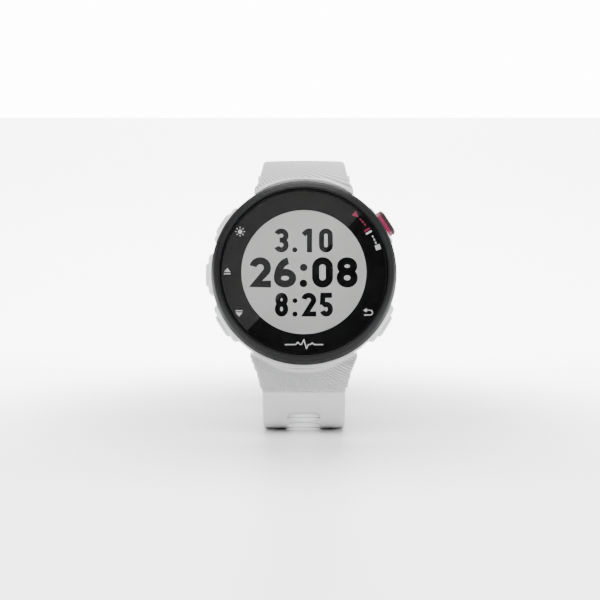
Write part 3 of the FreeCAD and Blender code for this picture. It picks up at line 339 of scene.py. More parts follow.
# --- The band's path ----------------------------------------------------------------------------------------------
class Path:
    """A strap's outer face in side view; inside is +1 if the wrist is to the left of the direction of travel.

    Distances run along the strap's middle layer; offsets run from the outer face towards the wrist."""

    def __init__(self, place, heading, inside):
        self.place, self.heading, self.inside = np.array(place, float), math.radians(heading), inside
        self.steps = []
        self.length = 0.0

    def normal(self, heading):
        heading = heading + self.inside * math.pi / 2
        return np.stack([np.cos(heading), np.sin(heading)], -1)

    def run(self, length):
        self.steps.append((self.length, "run", self.place, self.heading, 0))
        self.place = self.place + length * np.array([math.cos(self.heading), math.sin(self.heading)])
        self.length += length
        return self

    def arc(self, radius, turn):
        centre = self.place + radius * self.normal(self.heading)
        self.steps.append((self.length, "arc", centre, self.heading, radius))
        self.heading += math.radians(turn) * self.inside
        self.place = centre - radius * self.normal(self.heading)
        self.length += math.radians(turn) * (radius - STRAP_T / 2)
        return self

    def at(self, along, offset):
        """Side-view places, and headings, for arrays of distances and offsets."""
        along, offset = np.broadcast_arrays(np.asarray(along, float), np.asarray(offset, float))
        place = np.zeros(along.shape + (2,))
        heading = np.zeros(along.shape)
        for k, (start, kind, origin, head, radius) in enumerate(self.steps):
            last = k == len(self.steps) - 1
            here = (along >= start if k else np.ones(along.shape, bool)) & (
                np.ones(along.shape, bool) if last else along < self.steps[k + 1][0])
            d, n = along[here] - start, offset[here]
            if kind == "run":
                heading[here] = head
                forward = np.array([math.cos(head), math.sin(head)])
                place[here] = origin + d[:, None] * forward + n[:, None] * self.normal(head)
            else:
                now = head + self.inside * d / (radius - STRAP_T / 2)
                heading[here] = now
                place[here] = origin - (radius - n)[:, None] * self.normal(now)
        return place, heading

    def points(self, along, across, offset):
        """Points in the watch's frame."""
        place, _ = self.at(along, offset)
        return np.stack([np.broadcast_to(across, place.shape[:-1]), place[..., 1], -place[..., 0]], -1)


def apron_start(turn):
    a = math.radians(turn)
    return (LIP[0] - SHOULDER_R * (1 - math.cos(a)), LIP[1] - SHOULDER_R * math.sin(a) - APRON)


def upper_path():
    back, rise = CREST[0] - LIP[0], CREST[1] - LIP[1]
    start = 2 * math.degrees(math.atan2(rise, back))
    crown = math.degrees(math.asin((INNER_LAYER - CREST[0] - CORNER_R) / (CROWN_R - CORNER_R)))
    path = Path(apron_start(90 - start), 90, -1)
    path.run(APRON).arc(SHOULDER_R, 90 - start).arc(back / math.sin(math.radians(start)), start)
    path.arc(CROWN_R, crown).arc(CORNER_R, 90 - crown)
    return path, path.place[1]


def lower_path(corner_height):
    tail_out = INNER_LAYER + LAYER_GAP + STRAP_T
    depth, height = apron_start(90 - DROP_ANGLE)
    path = Path((depth, -height), -90, 1)
    path.run(APRON).arc(SHOULDER_R, 90 - DROP_ANGLE).run(DROP_RUN)
    path.arc(FOOT_R, DROP_ANGLE + math.degrees(LEAN)).run(FOOT_RUN)
    reach = tail_out - path.place[0] - CORNER_R + SOLE_R * math.sin(LEAN)
    sole = math.degrees(math.asin(reach / (SOLE_R - CORNER_R)))
    path.arc(SOLE_R, sole - math.degrees(LEAN)).arc(CORNER_R, 90 - sole)
    tongue = path.length + PIN_HEIGHT + SLOT_OFFSET - path.place[1]
    path.run(corner_height - path.place[1]).arc(CORNER_R + LAYER_GAP + STRAP_T, TAIL_TURN)
    return path, tongue


# --- Straps -------------------------------------------------------------------------------------------------------
def smooth_step(x):
    x = np.clip(x, 0, 1)
    return x * x * (3 - 2 * x)


def half_width(height, wide):
    """The flared end: wide at the case, and down to the strap's width further out."""
    return STRAP_W / 2 + (wide - STRAP_W / 2) * np.clip((FLARE_END - height) / (FLARE_END - FLARE_TOP), 0, 1) ** 2


def strap_section(columns, corner=5):
    """Round the strap's section as (across, down), each from -1 or 0 to 1, with which corner arc it is on."""
    ring = [("outer", t) for t in np.linspace(-1, 1, columns)]
    ring += [("right", t) for t in np.linspace(0, 1, 2 * corner + 1)[1:-1]]
    ring += [("inner", t) for t in np.linspace(1, -1, columns)]
    ring += [("left", t) for t in np.linspace(1, 0, 2 * corner + 1)[1:-1]]
    return ring


def strap_skin(name, path, rows, columns, crown, wide, nose=None):
    """The strap as one swept skin.

    rows are distances along the path; crown is how far the face's edges drop below its middle line, and nose is the
    distance at which the rounded tip starts. Attributes along and across give each point's place on the flat strap."""
    edge = 0.55
    heights = np.abs(path.at(rows, 0)[0][:, 1])
    flared = rows < path.steps[3][0]
    half = np.where(flared, half_width(heights, wide), STRAP_W / 2)
    if nose is not None:
        tip = np.clip((rows - nose) / (path.length - nose), 0, 1)
        half = half * np.sqrt(np.maximum(1 - tip ** 2.6, 0.0015))
    thick = THIN_T + (STRAP_T - THIN_T) * smooth_step((rows - 7) / 6)
    ring = strap_section(columns)
    across, offset = np.zeros((len(rows), len(ring))), np.zeros((len(rows), len(ring)))
    drop = crown * (half / half.max()) ** 2
    for k, (where, t) in enumerate(ring):
        if where in ("outer", "inner"):
            across[:, k] = t * (half - edge)
            offset[:, k] = drop * t * t if where == "outer" else thick
        else:
            sign = 1 if where == "right" else -1
            top, bottom = drop + edge, thick - edge
            a = math.pi * t
            centre = top if t < 0.5 else bottom
            centre = np.where(t == 0.5, (top + bottom) / 2, centre)
            across[:, k] = sign * (half - edge + edge * math.sin(a))
            offset[:, k] = centre - edge * math.cos(a)
    # the first rows follow the round case, and the rest ease out of it without folding back
    start_height = abs(path.steps[0][2][1])
    bow = np.sqrt(np.maximum(CASE_CLEAR ** 2 - across ** 2, 0)) - start_height
    fade = np.clip(1 - rows[:, None] / np.maximum(BOW_REACH, 1.6 * bow), 0, 1)
    along = rows[:, None] + bow * fade
    points = path.points(along, across, offset).reshape(-1, 3)
    count = len(ring)
    faces = []
    for r in range(len(rows) - 1):
        a, b = r * count, (r + 1) * count
        faces += [(a + k, a + (k + 1) % count, b + (k + 1) % count, b + k) for k in range(count)]
    end = (len(rows) - 1) * count
    for base, flip in ((0, False), (end, True)):
        for k in range(columns - 1):
            left, right = base + k, base + k + 1
            inner = base + columns + (len(ring) - 2 * columns) // 2
            mirror_right, mirror_left = inner + columns - 1 - (k + 1), inner + columns - 1 - k
            faces.append((left, mirror_left, mirror_right, right))
        side = (len(ring) - 2 * columns) // 2
        faces.append([base + columns - 1 + j for j in range(side + 2)])
        faces.append([base + 2 * columns + side - 1 + j for j in range(side + 1)] + [base])
    mesh = bpy.data.meshes.new(name)
    mesh.from_pydata([tuple(p) for p in points], [], [tuple(f) for f in faces])
    for label, values in (("along", along), ("across", np.broadcast_to(across, along.shape)),
                          ("rim", along - bow), ("face", np.clip(1 - offset / (THIN_T * 0.75), 0, 1))):
        attribute = mesh.attributes.new(label, "FLOAT", "POINT")
        attribute.data.foreach_set("value", values.astype(np.float32).ravel())
    mesh.transform(TO_ROW)
    mesh.materials.append(FINISH["strap_silicone"])
    obj = bpy.data.objects.new(name, mesh)
    bpy.context.collection.objects.link(obj)
    return obj


class NodeGroup:
    """A geometry node group with named inputs, and a short way to add nodes."""

    def __init__(self, name, inputs):
        self.tree = bpy.data.node_groups.new(name, "GeometryNodeTree")
        self.tree.interface.new_socket("Geometry", in_out="INPUT", socket_type="NodeSocketGeometry")
        self.tree.interface.new_socket("Geometry", in_out="OUTPUT", socket_type="NodeSocketGeometry")
        self.ids = {}
        for label, kind in inputs.items():
            socket = self.tree.interface.new_socket(label, in_out="INPUT", socket_type=kind)
            self.ids[label] = socket.identifier
        self.entry = self.tree.nodes.new("NodeGroupInput").outputs
        self.exit = self.tree.nodes.new("NodeGroupOutput").inputs

    def add(self, kind, inputs=None, **settings):
        node = self.tree.nodes.new(kind)
        for key, value in settings.items():
            setattr(node, key, value)
        for key, value in (inputs or {}).items():
            if isinstance(value, bpy.types.NodeSocket):
                self.tree.links.new(value, node.inputs[key])
            else:
                node.inputs[key].default_value = value
        return node

    def math(self, operation, a, b=0.0, c=0.0):
        return self.add("ShaderNodeMath", {0: a, 1: b, 2: c}, operation=operation).outputs[0]

    def apply(self, obj, values):
        """Runs the group on obj with these inputs and keeps the result as a plain mesh."""
        modifier = obj.modifiers.new("nodes", "NODES")
        modifier.node_group = self.tree
        for label, value in values.items():
            modifier[self.ids[label]] = value
        bpy.context.view_layer.update()
        result = bpy.data.meshes.new_from_object(obj.evaluated_get(bpy.context.evaluated_depsgraph_get()))
        obj.modifiers.clear()
        obj.data = result
        return obj


def groove_group():
    """Ribs pressed into a strap's outer face: slanted lines that change slant across the width and at an apex line."""
    g = NodeGroup("strap ribs", {
        "Pitch": "NodeSocketFloat", "Depth": "NodeSocketFloat", "Slant": "NodeSocketFloat", "Fan": "NodeSocketFloat",
        "Start": "NodeSocketFloat", "End": "NodeSocketFloat", "Apex": "NodeSocketFloat", "Edge": "NodeSocketFloat",
        "Material": "NodeSocketMaterial"})
    named = lambda label: g.add("GeometryNodeInputNamedAttribute", {"Name": label}, data_type="FLOAT").outputs[0]
    along, across, rim, face = named("along"), named("across"), named("rim"), named("face")
    # the ribs run across by slant * across + fan * across squared, mirrored along the strap beyond the apex
    past = g.math("ABSOLUTE", g.math("SUBTRACT", along, g.entry["Apex"]))
    lean = g.math("MULTIPLY_ADD", g.math("MULTIPLY", g.entry["Fan"], across), across,
                  g.math("MULTIPLY", g.entry["Slant"], across))
    phase = g.math("DIVIDE", g.math("ADD", past, lean), g.entry["Pitch"])
    wave = g.math("COSINE", g.math("MULTIPLY", phase, 2 * math.pi))
    cut = g.math("POWER", g.math("MULTIPLY_ADD", wave, -0.5, 0.5), 1.6)
    fade_in = g.math("DIVIDE", g.math("SUBTRACT", rim, g.entry["Start"]), g.entry["Edge"])
    fade_out = g.math("DIVIDE", g.math("SUBTRACT", g.entry["End"], along), g.entry["Edge"])
    fade = g.math("MAXIMUM", g.math("MINIMUM", g.math("MINIMUM", fade_in, fade_out), 1.0), 0.0)
    on_face = g.math("MINIMUM", g.math("MULTIPLY", face, 2.5), 1.0)
    amount = g.math("MULTIPLY", g.math("MULTIPLY", cut, fade), g.math("MULTIPLY", on_face, g.entry["Depth"]))
    normal = g.add("GeometryNodeInputNormal").outputs[0]
    inward = g.add("ShaderNodeVectorMath", {0: normal, "Scale": g.math("MULTIPLY", amount, -1.0)}, operation="SCALE")
    moved = g.add("GeometryNodeSetPosition", {"Geometry": g.entry["Geometry"], "Offset": inward.outputs[0]})
    # groove depth from 0 to 1, kept as rib so that the strap material paints shade into the grooves
    shade = g.math("DIVIDE", amount, g.entry["Depth"])
    kept = g.add("GeometryNodeStoreNamedAttribute", {"Geometry": moved.outputs[0], "Name": "rib", "Value": shade},
                 data_type="FLOAT", domain="POINT")
    real = g.add("GeometryNodeRealizeInstances", {0: kept.outputs[0]})
    done = g.add("GeometryNodeSetMaterial", {0: real.outputs[0], "Material": g.entry["Material"]})
    g.tree.links.new(done.outputs[0], g.exit[0])
    return g


def slot_cutters(path, first):
    """Rounded slots with softened rims, ready to be cut from the long strap."""
    profile = [(0.42, -0.4), (0.42, -0.02), (0.2, 0.05), (0.06, 0.18), (0, 0.4),
               (0, STRAP_T - 0.4), (0.06, STRAP_T - 0.18), (0.2, STRAP_T - 0.05), (0.42, STRAP_T + 0.02),
               (0.42, STRAP_T + 0.4)]
    points, faces = [], []
    for k in range(-SLOTS_BELOW, SLOTS_ABOVE + 1):
        middle = first + SLOT_PITCH * k
        base = len(points)
        count = 0
        for grow, offset in profile:
            w, l = SLOT_W / 2 + grow, SLOT_L / 2 + grow
            ring = rounded([(-w, -l, 0.8 + grow), (w, -l, 0.8 + grow), (w, l, 0.8 + grow), (-w, l, 0.8 + grow)], 6)
            count = len(ring)
            along = middle + np.array([p.y for p in ring])
            points += list(path.points(along, np.array([p.x for p in ring]), np.full(count, offset)))
        for r in range(len(profile) - 1):
            a, b = base + r * count, base + (r + 1) * count
            faces += [(a + j, a + (j + 1) % count, b + (j + 1) % count, b + j) for j in range(count)]
        faces.append([base + j for j in reversed(range(count))])
        faces.append([base + (len(profile) - 1) * count + j for j in range(count)])
    return piece("slot_cutters", points, faces, "strap_silicone")


def cut_away(obj, cutter):
    modifier = obj.modifiers.new("cut", "BOOLEAN")
    modifier.object = cutter
    modifier.operation = "DIFFERENCE"
    modifier.solver = "EXACT"
    bpy.context.view_layer.update()
    result = bpy.data.meshes.new_from_object(obj.evaluated_get(bpy.context.evaluated_depsgraph_get()))
    obj.modifiers.clear()
    obj.data = result
    bpy.data.objects.remove(cutter)
    return obj


def barrel(name, place, radius, half, slot, bore=0.0, edge=0.25):
    """A rod along X through a place in side view, with rounded ends."""
    section = rounded([(-half, bore, 0), (-half, radius, edge), (half, radius, edge), (half, bore, 0)])
    segments = 48
    points, faces = [], []
    count = len(section)
    for s in range(segments):
        a = 2 * math.pi * s / segments
        points += [(p.x, place[1] + p.y * math.sin(a), -place[0] - p.y * math.cos(a)) for p in section]
        here, there = s * count, (s + 1) % segments * count
        faces += [(here + k, here + (k + 1) % count, there + (k + 1) % count, there + k) for k in range(count)]
    return piece(name, points, faces, slot)


def row_point(depth, height):
    return TO_ROW @ Vector((0, height, -depth))


def bend_ends(path, pivot):
    """Two points in the row frame, BLEND_HALF before and after a strap's pivot along the strap's heading there."""
    along = np.linspace(0, path.length, 2000)
    places, headings = path.at(along, STRAP_T / 2)
    nearest = int(np.argmin(np.hypot(*(places - np.array(pivot)).T)))
    forward = np.array([math.cos(headings[nearest]), math.sin(headings[nearest])]) * BLEND_HALF
    return [row_point(*(np.array(pivot) + sign * forward)) for sign in (-1, 1)]


def rows_between(*stretches):
    """Distances along a strap from (end, spacing) stretches."""
    rows, at = [0.0], 0.0
    for end, spacing in stretches:
        count = max(int(round((end - at) / spacing)), 1)
        rows += list(np.linspace(at, end, count + 1)[1:])
        at = end
    return np.array(rows)


SHORT_RIBBED, LONG_RIBBED, NOSE_LENGTH = 26.0, 9.2, 9.5   # how far the ribs reach, and the rounded tip's length
RIB_ROW, COLUMNS, CROWN = 0.13, 170, 0.25                 # fineness of the ribbed mesh, and how far its edges drop


def straps():
    upper, corner_height = upper_path()
    lower, tongue = lower_path(corner_height)
    upper.run(corner_height - PIN_HEIGHT)
    ribs = groove_group()
    short = strap_skin("strap_short", upper, rows_between((SHORT_RIBBED + 1, RIB_ROW), (upper.length, 0.6)), COLUMNS,
                       CROWN, UPPER_FLARE)
    ribs.apply(short, {"Pitch": 1.15, "Depth": 0.3 * MM, "Slant": -0.8, "Fan": 0.025, "Start": 0.3, "End": SHORT_RIBBED,
                       "Apex": 16.0, "Edge": 0.5, "Material": FINISH["strap_silicone"]})
    eye = barrel("eye", PIN, EYE_R, STRAP_W / 2, "strap_silicone", PIN_R)
    knuckle = barrel("knuckle", BAR, KNUCKLE_R, KNUCKLE_HALF, "strap_silicone", BAR_R)
    short = joined("strap_short", [short, eye, knuckle])
    long_rows = rows_between((LONG_RIBBED + 1, RIB_ROW), (lower.length - 12, 0.5), (lower.length - 1, 0.4),
                             (lower.length, 0.1))
    long = strap_skin("strap_long", lower, long_rows, COLUMNS, CROWN, LOWER_FLARE, lower.length - NOSE_LENGTH)
    ribs.apply(long, {"Pitch": 0.56, "Depth": 0.22 * MM, "Slant": -0.8, "Fan": 0.025, "Start": 0.6, "End": LONG_RIBBED,
                      "Apex": -5.0, "Edge": 0.3, "Material": FINISH["strap_silicone"]})
    long = cut_away(long, slot_cutters(lower, tongue))
    low_knuckle = barrel("low_knuckle", (BAR[0], -BAR[1]), KNUCKLE_R, KNUCKLE_HALF, "strap_silicone", BAR_R)
    long = joined("strap_long", [long, low_knuckle])
    pivots = {name: (BAR[0] + PIVOT_RUN[0], side * BAR[1] + PIVOT_RUN[1]) for name, side in (("short", 1), ("long", -1))}
    for obj, path, first, pivot, nodes in (
            (short, upper, "upper_run", pivots["short"], ("strap_short_arch", "strap_short_end")),
            (long, lower, "lower_run", pivots["long"], ("strap_long_run", "strap_long_tail"))):
        tidy(obj, angle=50)
        start, end = bend_ends(path, pivot)
        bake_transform(obj)
        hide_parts(*nodes)


# --- Front --------------------------------------------------------------------------------------------------------
def front():
    spigot = 17.65
    bezel = lathe("bezel_ring", [
        (LIP_R, 0.02, 0.12), (LIP_R + 0.4, 0.0, 0.35), (19.0, 0.55, 1.3), (BEZEL_R, 1.9, 1.5),
        (BEZEL_FOOT_R, CASE_TOP - 0.05, 0.12), (spigot, CASE_TOP - 0.05, 0.05), (spigot, 2.6, 0), (15.2, 2.6, 0.05),
        (15.2, 1.75, 0.05), (LIP_R, 1.75, 0)], "bezel_polymer", steps=6)
    lens = round_plate("lens", GLASS_TOP, GLASS_BOTTOM, GLASS_R, 0.15, "lens")
    lens.data.materials.append(FINISH["mask_ink"])
    for polygon in lens.data.polygons:
        middle = polygon.center - ORIGIN
        if polygon.area < 1e-5 and (middle - RIGHT_TO_ROW.to_3x3() @ Vector((0, 0, -0.8)) * MM).length > 17.3 * MM:
            polygon.material_index = 1
    mask = lathe("ink_border", [(VIEW_R, MASK_DEPTH, 0), (17.5, MASK_DEPTH, 0), (17.5, 1.56, 0), (VIEW_R, 1.56, 0)],
                 "mask_ink")
    lip = lathe("case_rim", [(19.0, CASE_TOP + 0.04, 0), (20.1, CASE_TOP + 0.04, 0.12), (20.25, CASE_TOP + 0.3, 0.1),
                             (20.0, CASE_TOP + 0.38, 0.05), (19.0, CASE_TOP + 0.38, 0)], "case_polymer", 96,
                stretch=(237.5, 302.5))
    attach(lip, "case")
    for obj, node, slot in ((bezel, "bezel", "bezel_polymer"), (lens, "lens_glass", "lens"),
                            (mask, "lens_mask", "mask_ink")):
        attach(obj, "case")
        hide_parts(node)


def flat_mark(name, outline, slot, depth=PRINT_DEPTH, thick=0.008):
    """A printed mark: a thin plate from an outline in the dial's plane."""
    count = len(outline)
    points = [(x, y, -depth + t) for t in (0, thick) for x, y in outline]
    faces = [list(reversed(range(count))), list(range(count, 2 * count))]
    faces += [(k, (k + 1) % count, count + (k + 1) % count, count + k) for k in range(count)]
    return piece(name, points, faces, slot, smooth=False)


def turned(outline, degrees, radius):
    """An outline drawn upright about (0, 0), moved out to a dial angle and turned so its up points outwards."""
    a = math.radians(degrees)
    out, along = (math.cos(a), math.sin(a)), (math.sin(a), -math.cos(a))
    return [(out[0] * (radius + y) + along[0] * x, out[1] * (radius + y) + along[1] * x) for x, y in outline]


def rect(w, h, x=0.0, y=0.0):
    return [(x - w / 2, y - h / 2), (x + w / 2, y - h / 2), (x + w / 2, y + h / 2), (x - w / 2, y + h / 2)]


def circle(r, x=0.0, y=0.0, count=20):
    angles = [2 * math.pi * k / count for k in range(count)]
    return [(x + r * math.cos(a), y + r * math.sin(a)) for a in angles]


def rim_arc(first, last, radius, width):
    angles = [math.radians(first + (last - first) * k / 12) for k in range(13)]
    outer = [((radius + width / 2) * math.cos(a), (radius + width / 2) * math.sin(a)) for a in angles]
    inner = [((radius - width / 2) * math.cos(a), (radius - width / 2) * math.sin(a)) for a in reversed(angles)]
    return outer + inner


def stroke(points, width):
    """An open line with a width, as one outline; its ends are square and its corners mitred."""
    left, right = [], []
    for k, point in enumerate(points):
        here = Vector(point)
        before = (here - Vector(points[k - 1])).normalized() if k else None
        after = (Vector(points[k + 1]) - here).normalized() if k + 1 < len(points) else None
        along = (((before or after) + (after or before)) / 2).normalized()
        reach = width / 2 / max(along.dot(before or after), 0.5)
        left.append((here.x - along.y * reach, here.y + along.x * reach))
        right.append((here.x + along.y * reach, here.y - along.x * reach))
    return left + right[::-1]


def bow(x, y, rx, ry, first, last, count=24):
    """Points along part of an ellipse, between two angles."""
    angles = [math.radians(first + (last - first) * k / count) for k in range(count + 1)]
    return [(x + rx * math.cos(a), y + ry * math.sin(a)) for a in angles]


def upright(outline, degrees, radius):
    """An outline moved to a dial angle without turning."""
    a = math.radians(degrees)
    return [(x + radius * math.cos(a), y + radius * math.sin(a)) for x, y in outline]


LINE_W, BEAT_DROP = 0.24, 15.4       # width of the drawn signs' lines, and the pulse line's distance below the centre


def legends():
    """Small generic signs beside the buttons: a lamp, up, down, back, and the start and stop bars."""
    marks = []

    def add(outline, slot="white_ink"):
        marks.append(flat_mark("mark", outline, slot))

    # lamp with rays
    add(upright(circle(0.46), BUTTONS["light"], 16.0))
    for k in range(8):
        a = math.radians(45 * k)
        ray = [(x * math.cos(a) - y * math.sin(a), x * math.sin(a) + y * math.cos(a))
               for x, y in rect(0.17, 0.38, 0, 0.88)]
        add(upright(ray, BUTTONS["light"], 16.0))
    # up and down
    for angle, way in ((BUTTONS["up"], 1), (BUTTONS["down"], -1)):
        add(upright([(-0.72, -0.05 * way), (0.72, -0.05 * way), (0, 0.85 * way)], angle, 16.15))
        add(upright(rect(1.44, 0.22, 0, -0.42 * way), angle, 16.15))
    # back: a line that turns round into an arrow
    turn_round = [(-0.9, -0.5), (0.2, -0.5)] + bow(0.35, 0, 0.5, 0.5, -90, 90, 12) + [(-0.4, 0.5)]
    add(upright(stroke(turn_round, LINE_W), BUTTONS["back"], 16.1))
    add(upright([(-0.35, 0.98), (-1.1, 0.5), (-0.35, 0.02)], BUTTONS["back"], 16.1))
    # start and stop: bars at the button, with a triangle and a square beyond
    add(turned(rect(0.42, 1.4), 33.9, 16.1), "pink_ink")
    add(turned(rect(0.42, 1.4), 31.5, 16.1))
    for k in range(3):
        add(rim_arc(37.2 + 2.6 * k, 38.9 + 2.6 * k, 16.4, 0.34), "pink_ink")
        add(rim_arc(26.6 - 2.6 * k, 28.3 - 2.6 * k, 16.4, 0.34))
    add(turned([(-0.75, 0.72), (-0.75, -0.72), (0.6, 0)], 47.4, 16.4), "pink_ink")
    add(turned(rect(1.15, 1.15), 18.6, 16.5))
    # pulse line at the foot of the dial
    beat = [(-4, 0), (-1.75, 0), (-1.25, 0.5), (-0.8, 0), (-0.5, 0), (0, 1.05), (0.55, -0.85), (0.95, 0), (1.35, 0),
            (1.75, 0.35), (2.15, 0), (4, 0)]
    for start, end in zip(beat, beat[1:]):
        add([(x, y - BEAT_DROP) for x, y in stroke([start, end], LINE_W)])
        add(circle(LINE_W / 2, end[0], end[1] - BEAT_DROP, 12))
    obj = joined("printed_legends", marks)
    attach(obj, "case")


def glyph(character, w, h, t):
    """Lines of one figure, w wide and h high about its middle, drawn with a pen t wide."""
    x, y = (w - t) / 2, (h - t) / 2
    if character == "0":
        side_line = y - x
        return [bow(0, side_line, x, x, 0, 180) + bow(0, -side_line, x, x, 180, 360)
                + [(x, side_line), (x, side_line + 0.01)]]
    if character == "1":
        return [[(x, -y - t / 2), (x, y + t / 2)],
                [(x + t / 2, y), (x - 0.12 * h, y - 0.03 * h), (-x - t * 0.35, y - 0.16 * h)]]
    if character == "2":
        top = y - x * 0.98
        return [bow(0, top, x, x * 0.98, 168, -38) + [(-x + 0.12 * w, -y), (x + t / 2, -y)]]
    if character == "3":
        r = y / 2
        return [bow(0, r * 1.03, x, r * 0.97, 158, -82), bow(0, -r * 0.97, x * 1.02, r * 1.03, 82, -158),
                [(-x * 0.35, r * 0.06), (x * 0.2, r * 0.06)]]
    if character == "5":
        r = (h * 0.62 - t) / 2
        return [[(x + t * 0.3, y), (-x * 0.8, y), (-x * 0.93, -y + 2 * r - 0.02 * h)],
                bow(0, -y + r, x, r, 140, -158)]
    if character == "6":
        r = (h * 0.62 - t) / 2
        return [bow(0, -y + r, x, r, 0, 375), bow(x * 0.62, -y + r, x * 1.62, 2 * y - r, 182, 97, 14)]
    upper, lower = (h * 0.5 - t * 0.62) / 2, (h * 0.5 - t * 0.38) / 2
    return [bow(0, y - upper, x * 0.93, upper, 0, 375), bow(0, -y + lower, x, lower, 0, 375)]


FIGURES = (                          # character, left, right, middle height, height, pen width
    ("3", -6.33, -3.25, 6.72, 5.1, 1.08), ("1", -0.3, 1.72, 6.72, 5.1, 1.08), ("0", 3.2, 6.12, 6.72, 5.1, 1.08),
    ("2", -11.5, -6.95, -0.1, 6.45, 1.5), ("6", -6.33, -1.62, -0.1, 6.45, 1.5), ("0", 1.74, 6.12, -0.1, 6.45, 1.5),
    ("8", 6.92, 11.35, -0.1, 6.45, 1.5),
    ("8", -6.1, -3.3, -6.95, 5.05, 1.08), ("2", -0.55, 2.58, -6.95, 5.05, 1.08), ("5", 3.3, 6.12, -6.95, 5.05, 1.08))
DOTS = ((-1.92, 4.72, 0.54), (-0.05, 0.95, 0.78), (-0.1, -2.45, 0.8), (-1.88, -6.1, 0.52), (-1.88, -8.95, 0.54))


def digits():
    """The three lines of figures, as dark segments just above the panel."""
    depth = PANEL_DEPTH - 0.02
    made = []
    for character, left, right, middle, height, pen in FIGURES:
        for line in glyph(character, right - left, height, pen):
            outline = [(x + (left + right) / 2, y + middle) for x, y in stroke(line, pen)]
            half = len(outline) // 2
            points = [(x, y, -depth) for x, y in outline]
            faces = [(k, k + 1, 2 * half - 2 - k, 2 * half - 1 - k) for k in range(half - 1)]
            made.append(piece("figure", points, faces, "digit_ink", smooth=False))
    for x, y, radius in DOTS:
        points = [(px, py, -depth) for px, py in circle(radius, x, y, 28)]
        made.append(piece("figure", points, [range(28)], "digit_ink", smooth=False))
    obj = joined("display_figures", made)
    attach(obj, "case")


# --- Buttons ------------------------------------------------------------------------------------------------------
def button_cap(name, angle, slot, length, out_r, dark_face=None):
    """A pill that stands out of its guard, crowned to the case's curve, made at 3 o'clock; the optional second material
    colours its outer face darker.
    """
    half, height, corner = length / 2, 1.3, 1.15
    # (in from the widest outline, out from the crown); None is the flat underside
    levels = [(0, None), (0, -0.92), (0.08, -0.84), (0.08, -0.76), (0.02, -0.68), (0.03, -0.4), (0.1, -0.22),
              (0.22, -0.1), (0.34, -0.03), (0.46, -0.03), (0.56, 0), (0.95, 0.0)]
    points, faces = [], []
    for inset, out in levels:
        x, y, r = half - inset, height - inset, corner - inset * 0.8
        ring = rounded([(-x, -y, r), (x, -y, r), (x, y, r), (-x, y, r)], 8)
        count = len(ring)
        points += [(CAP_IN_R if out is None else math.sqrt(out_r ** 2 - p.x ** 2) + out, p.x, p.y - BUTTON_DEPTH)
                   for p in ring]
    for r in range(len(levels) - 1):
        a, b = r * count, (r + 1) * count
        faces += [(a + j, a + (j + 1) % count, b + (j + 1) % count, b + j) for j in range(count)]
    faces.append([(len(levels) - 1) * count + j for j in range(count)])
    faces.append([j for j in reversed(range(count))])
    turn = Matrix.Rotation(math.radians(angle), 3, "Z")
    obj = piece(name, [turn @ Vector(p) for p in points], faces, slot)
    if dark_face:
        obj.data.materials.append(FINISH[dark_face])
        out = RIGHT_TO_ROW.to_3x3() @ turn @ Vector((1, 0, 0))
        for polygon in obj.data.polygons:
            reach = (polygon.center - ORIGIN).dot(out) / MM
            if reach > out_r - DARK_FACE_DEPTH:
                polygon.material_index = 1
    return obj


def buttons():
    for name, angle in BUTTONS.items():
        start = name == "start"
        slot = "button_red" if start else "button_white"
        size = START_CAP if start else PLAIN_CAP
        cap = button_cap(f"{name}_cap", angle, slot, *size, dark_face="dark_red_face" if start else None)
        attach(cap, name)
        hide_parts(f"{name}_button")


# --- Keeper and buckle --------------------------------------------------------------------------------------------
def keeper():
    """The loop round both layers, with every edge rounded."""
    half, inner, outer = STRAP_W / 2 + 0.35, INNER_LAYER - STRAP_T - 0.3, INNER_LAYER + LAYER_GAP + STRAP_T + 0.3
    section = rounded([(0, -2.5, 0.3), (1.3, -2.5, 0.55), (1.3, 2.5, 0.55), (0, 2.5, 0.3)], 5)
    points, faces = [], []
    for p in section:
        grow, radius = p.x, 0.7 + 0.95 * p.x
        ring = rounded([(-half - grow, inner - grow, radius), (half + grow, inner - grow, radius),
                        (half + grow, outer + grow, radius), (-half - grow, outer + grow, radius)], 7)
        count = len(ring)
        points += [(q.x, KEEPER_HEIGHT + p.y, -q.y) for q in ring]
    for r in range(len(section)):
        a, b = r * count, (r + 1) % len(section) * count
        faces += [(a + j, a + (j + 1) % count, b + (j + 1) % count, b + j) for j in range(count)]
    obj = piece("keeper_loop", points, faces, "strap_silicone")
    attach(obj, "keeper")
    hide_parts("strap_keeper")


def swept(name, stations, slot):
    """A bar through stations of (middle, across, up, half across, half up, corner), with closed ends."""
    points, faces = [], []
    for middle, across, up, a, b, corner in stations:
        ring = rounded([(-a, -b, corner), (a, -b, corner), (a, b, corner), (-a, b, corner)], 5)
        count = len(ring)
        points += [Vector(middle) + Vector(across) * q.x + Vector(up) * q.y for q in ring]
    for r in range(len(stations) - 1):
        a, b = r * count, (r + 1) * count
        faces += [(a + j, a + (j + 1) % count, b + (j + 1) % count, b + j) for j in range(count)]
    faces += [list(reversed(range(count))), list(range(len(points) - count, len(points)))]
    return piece(name, points, faces, slot)


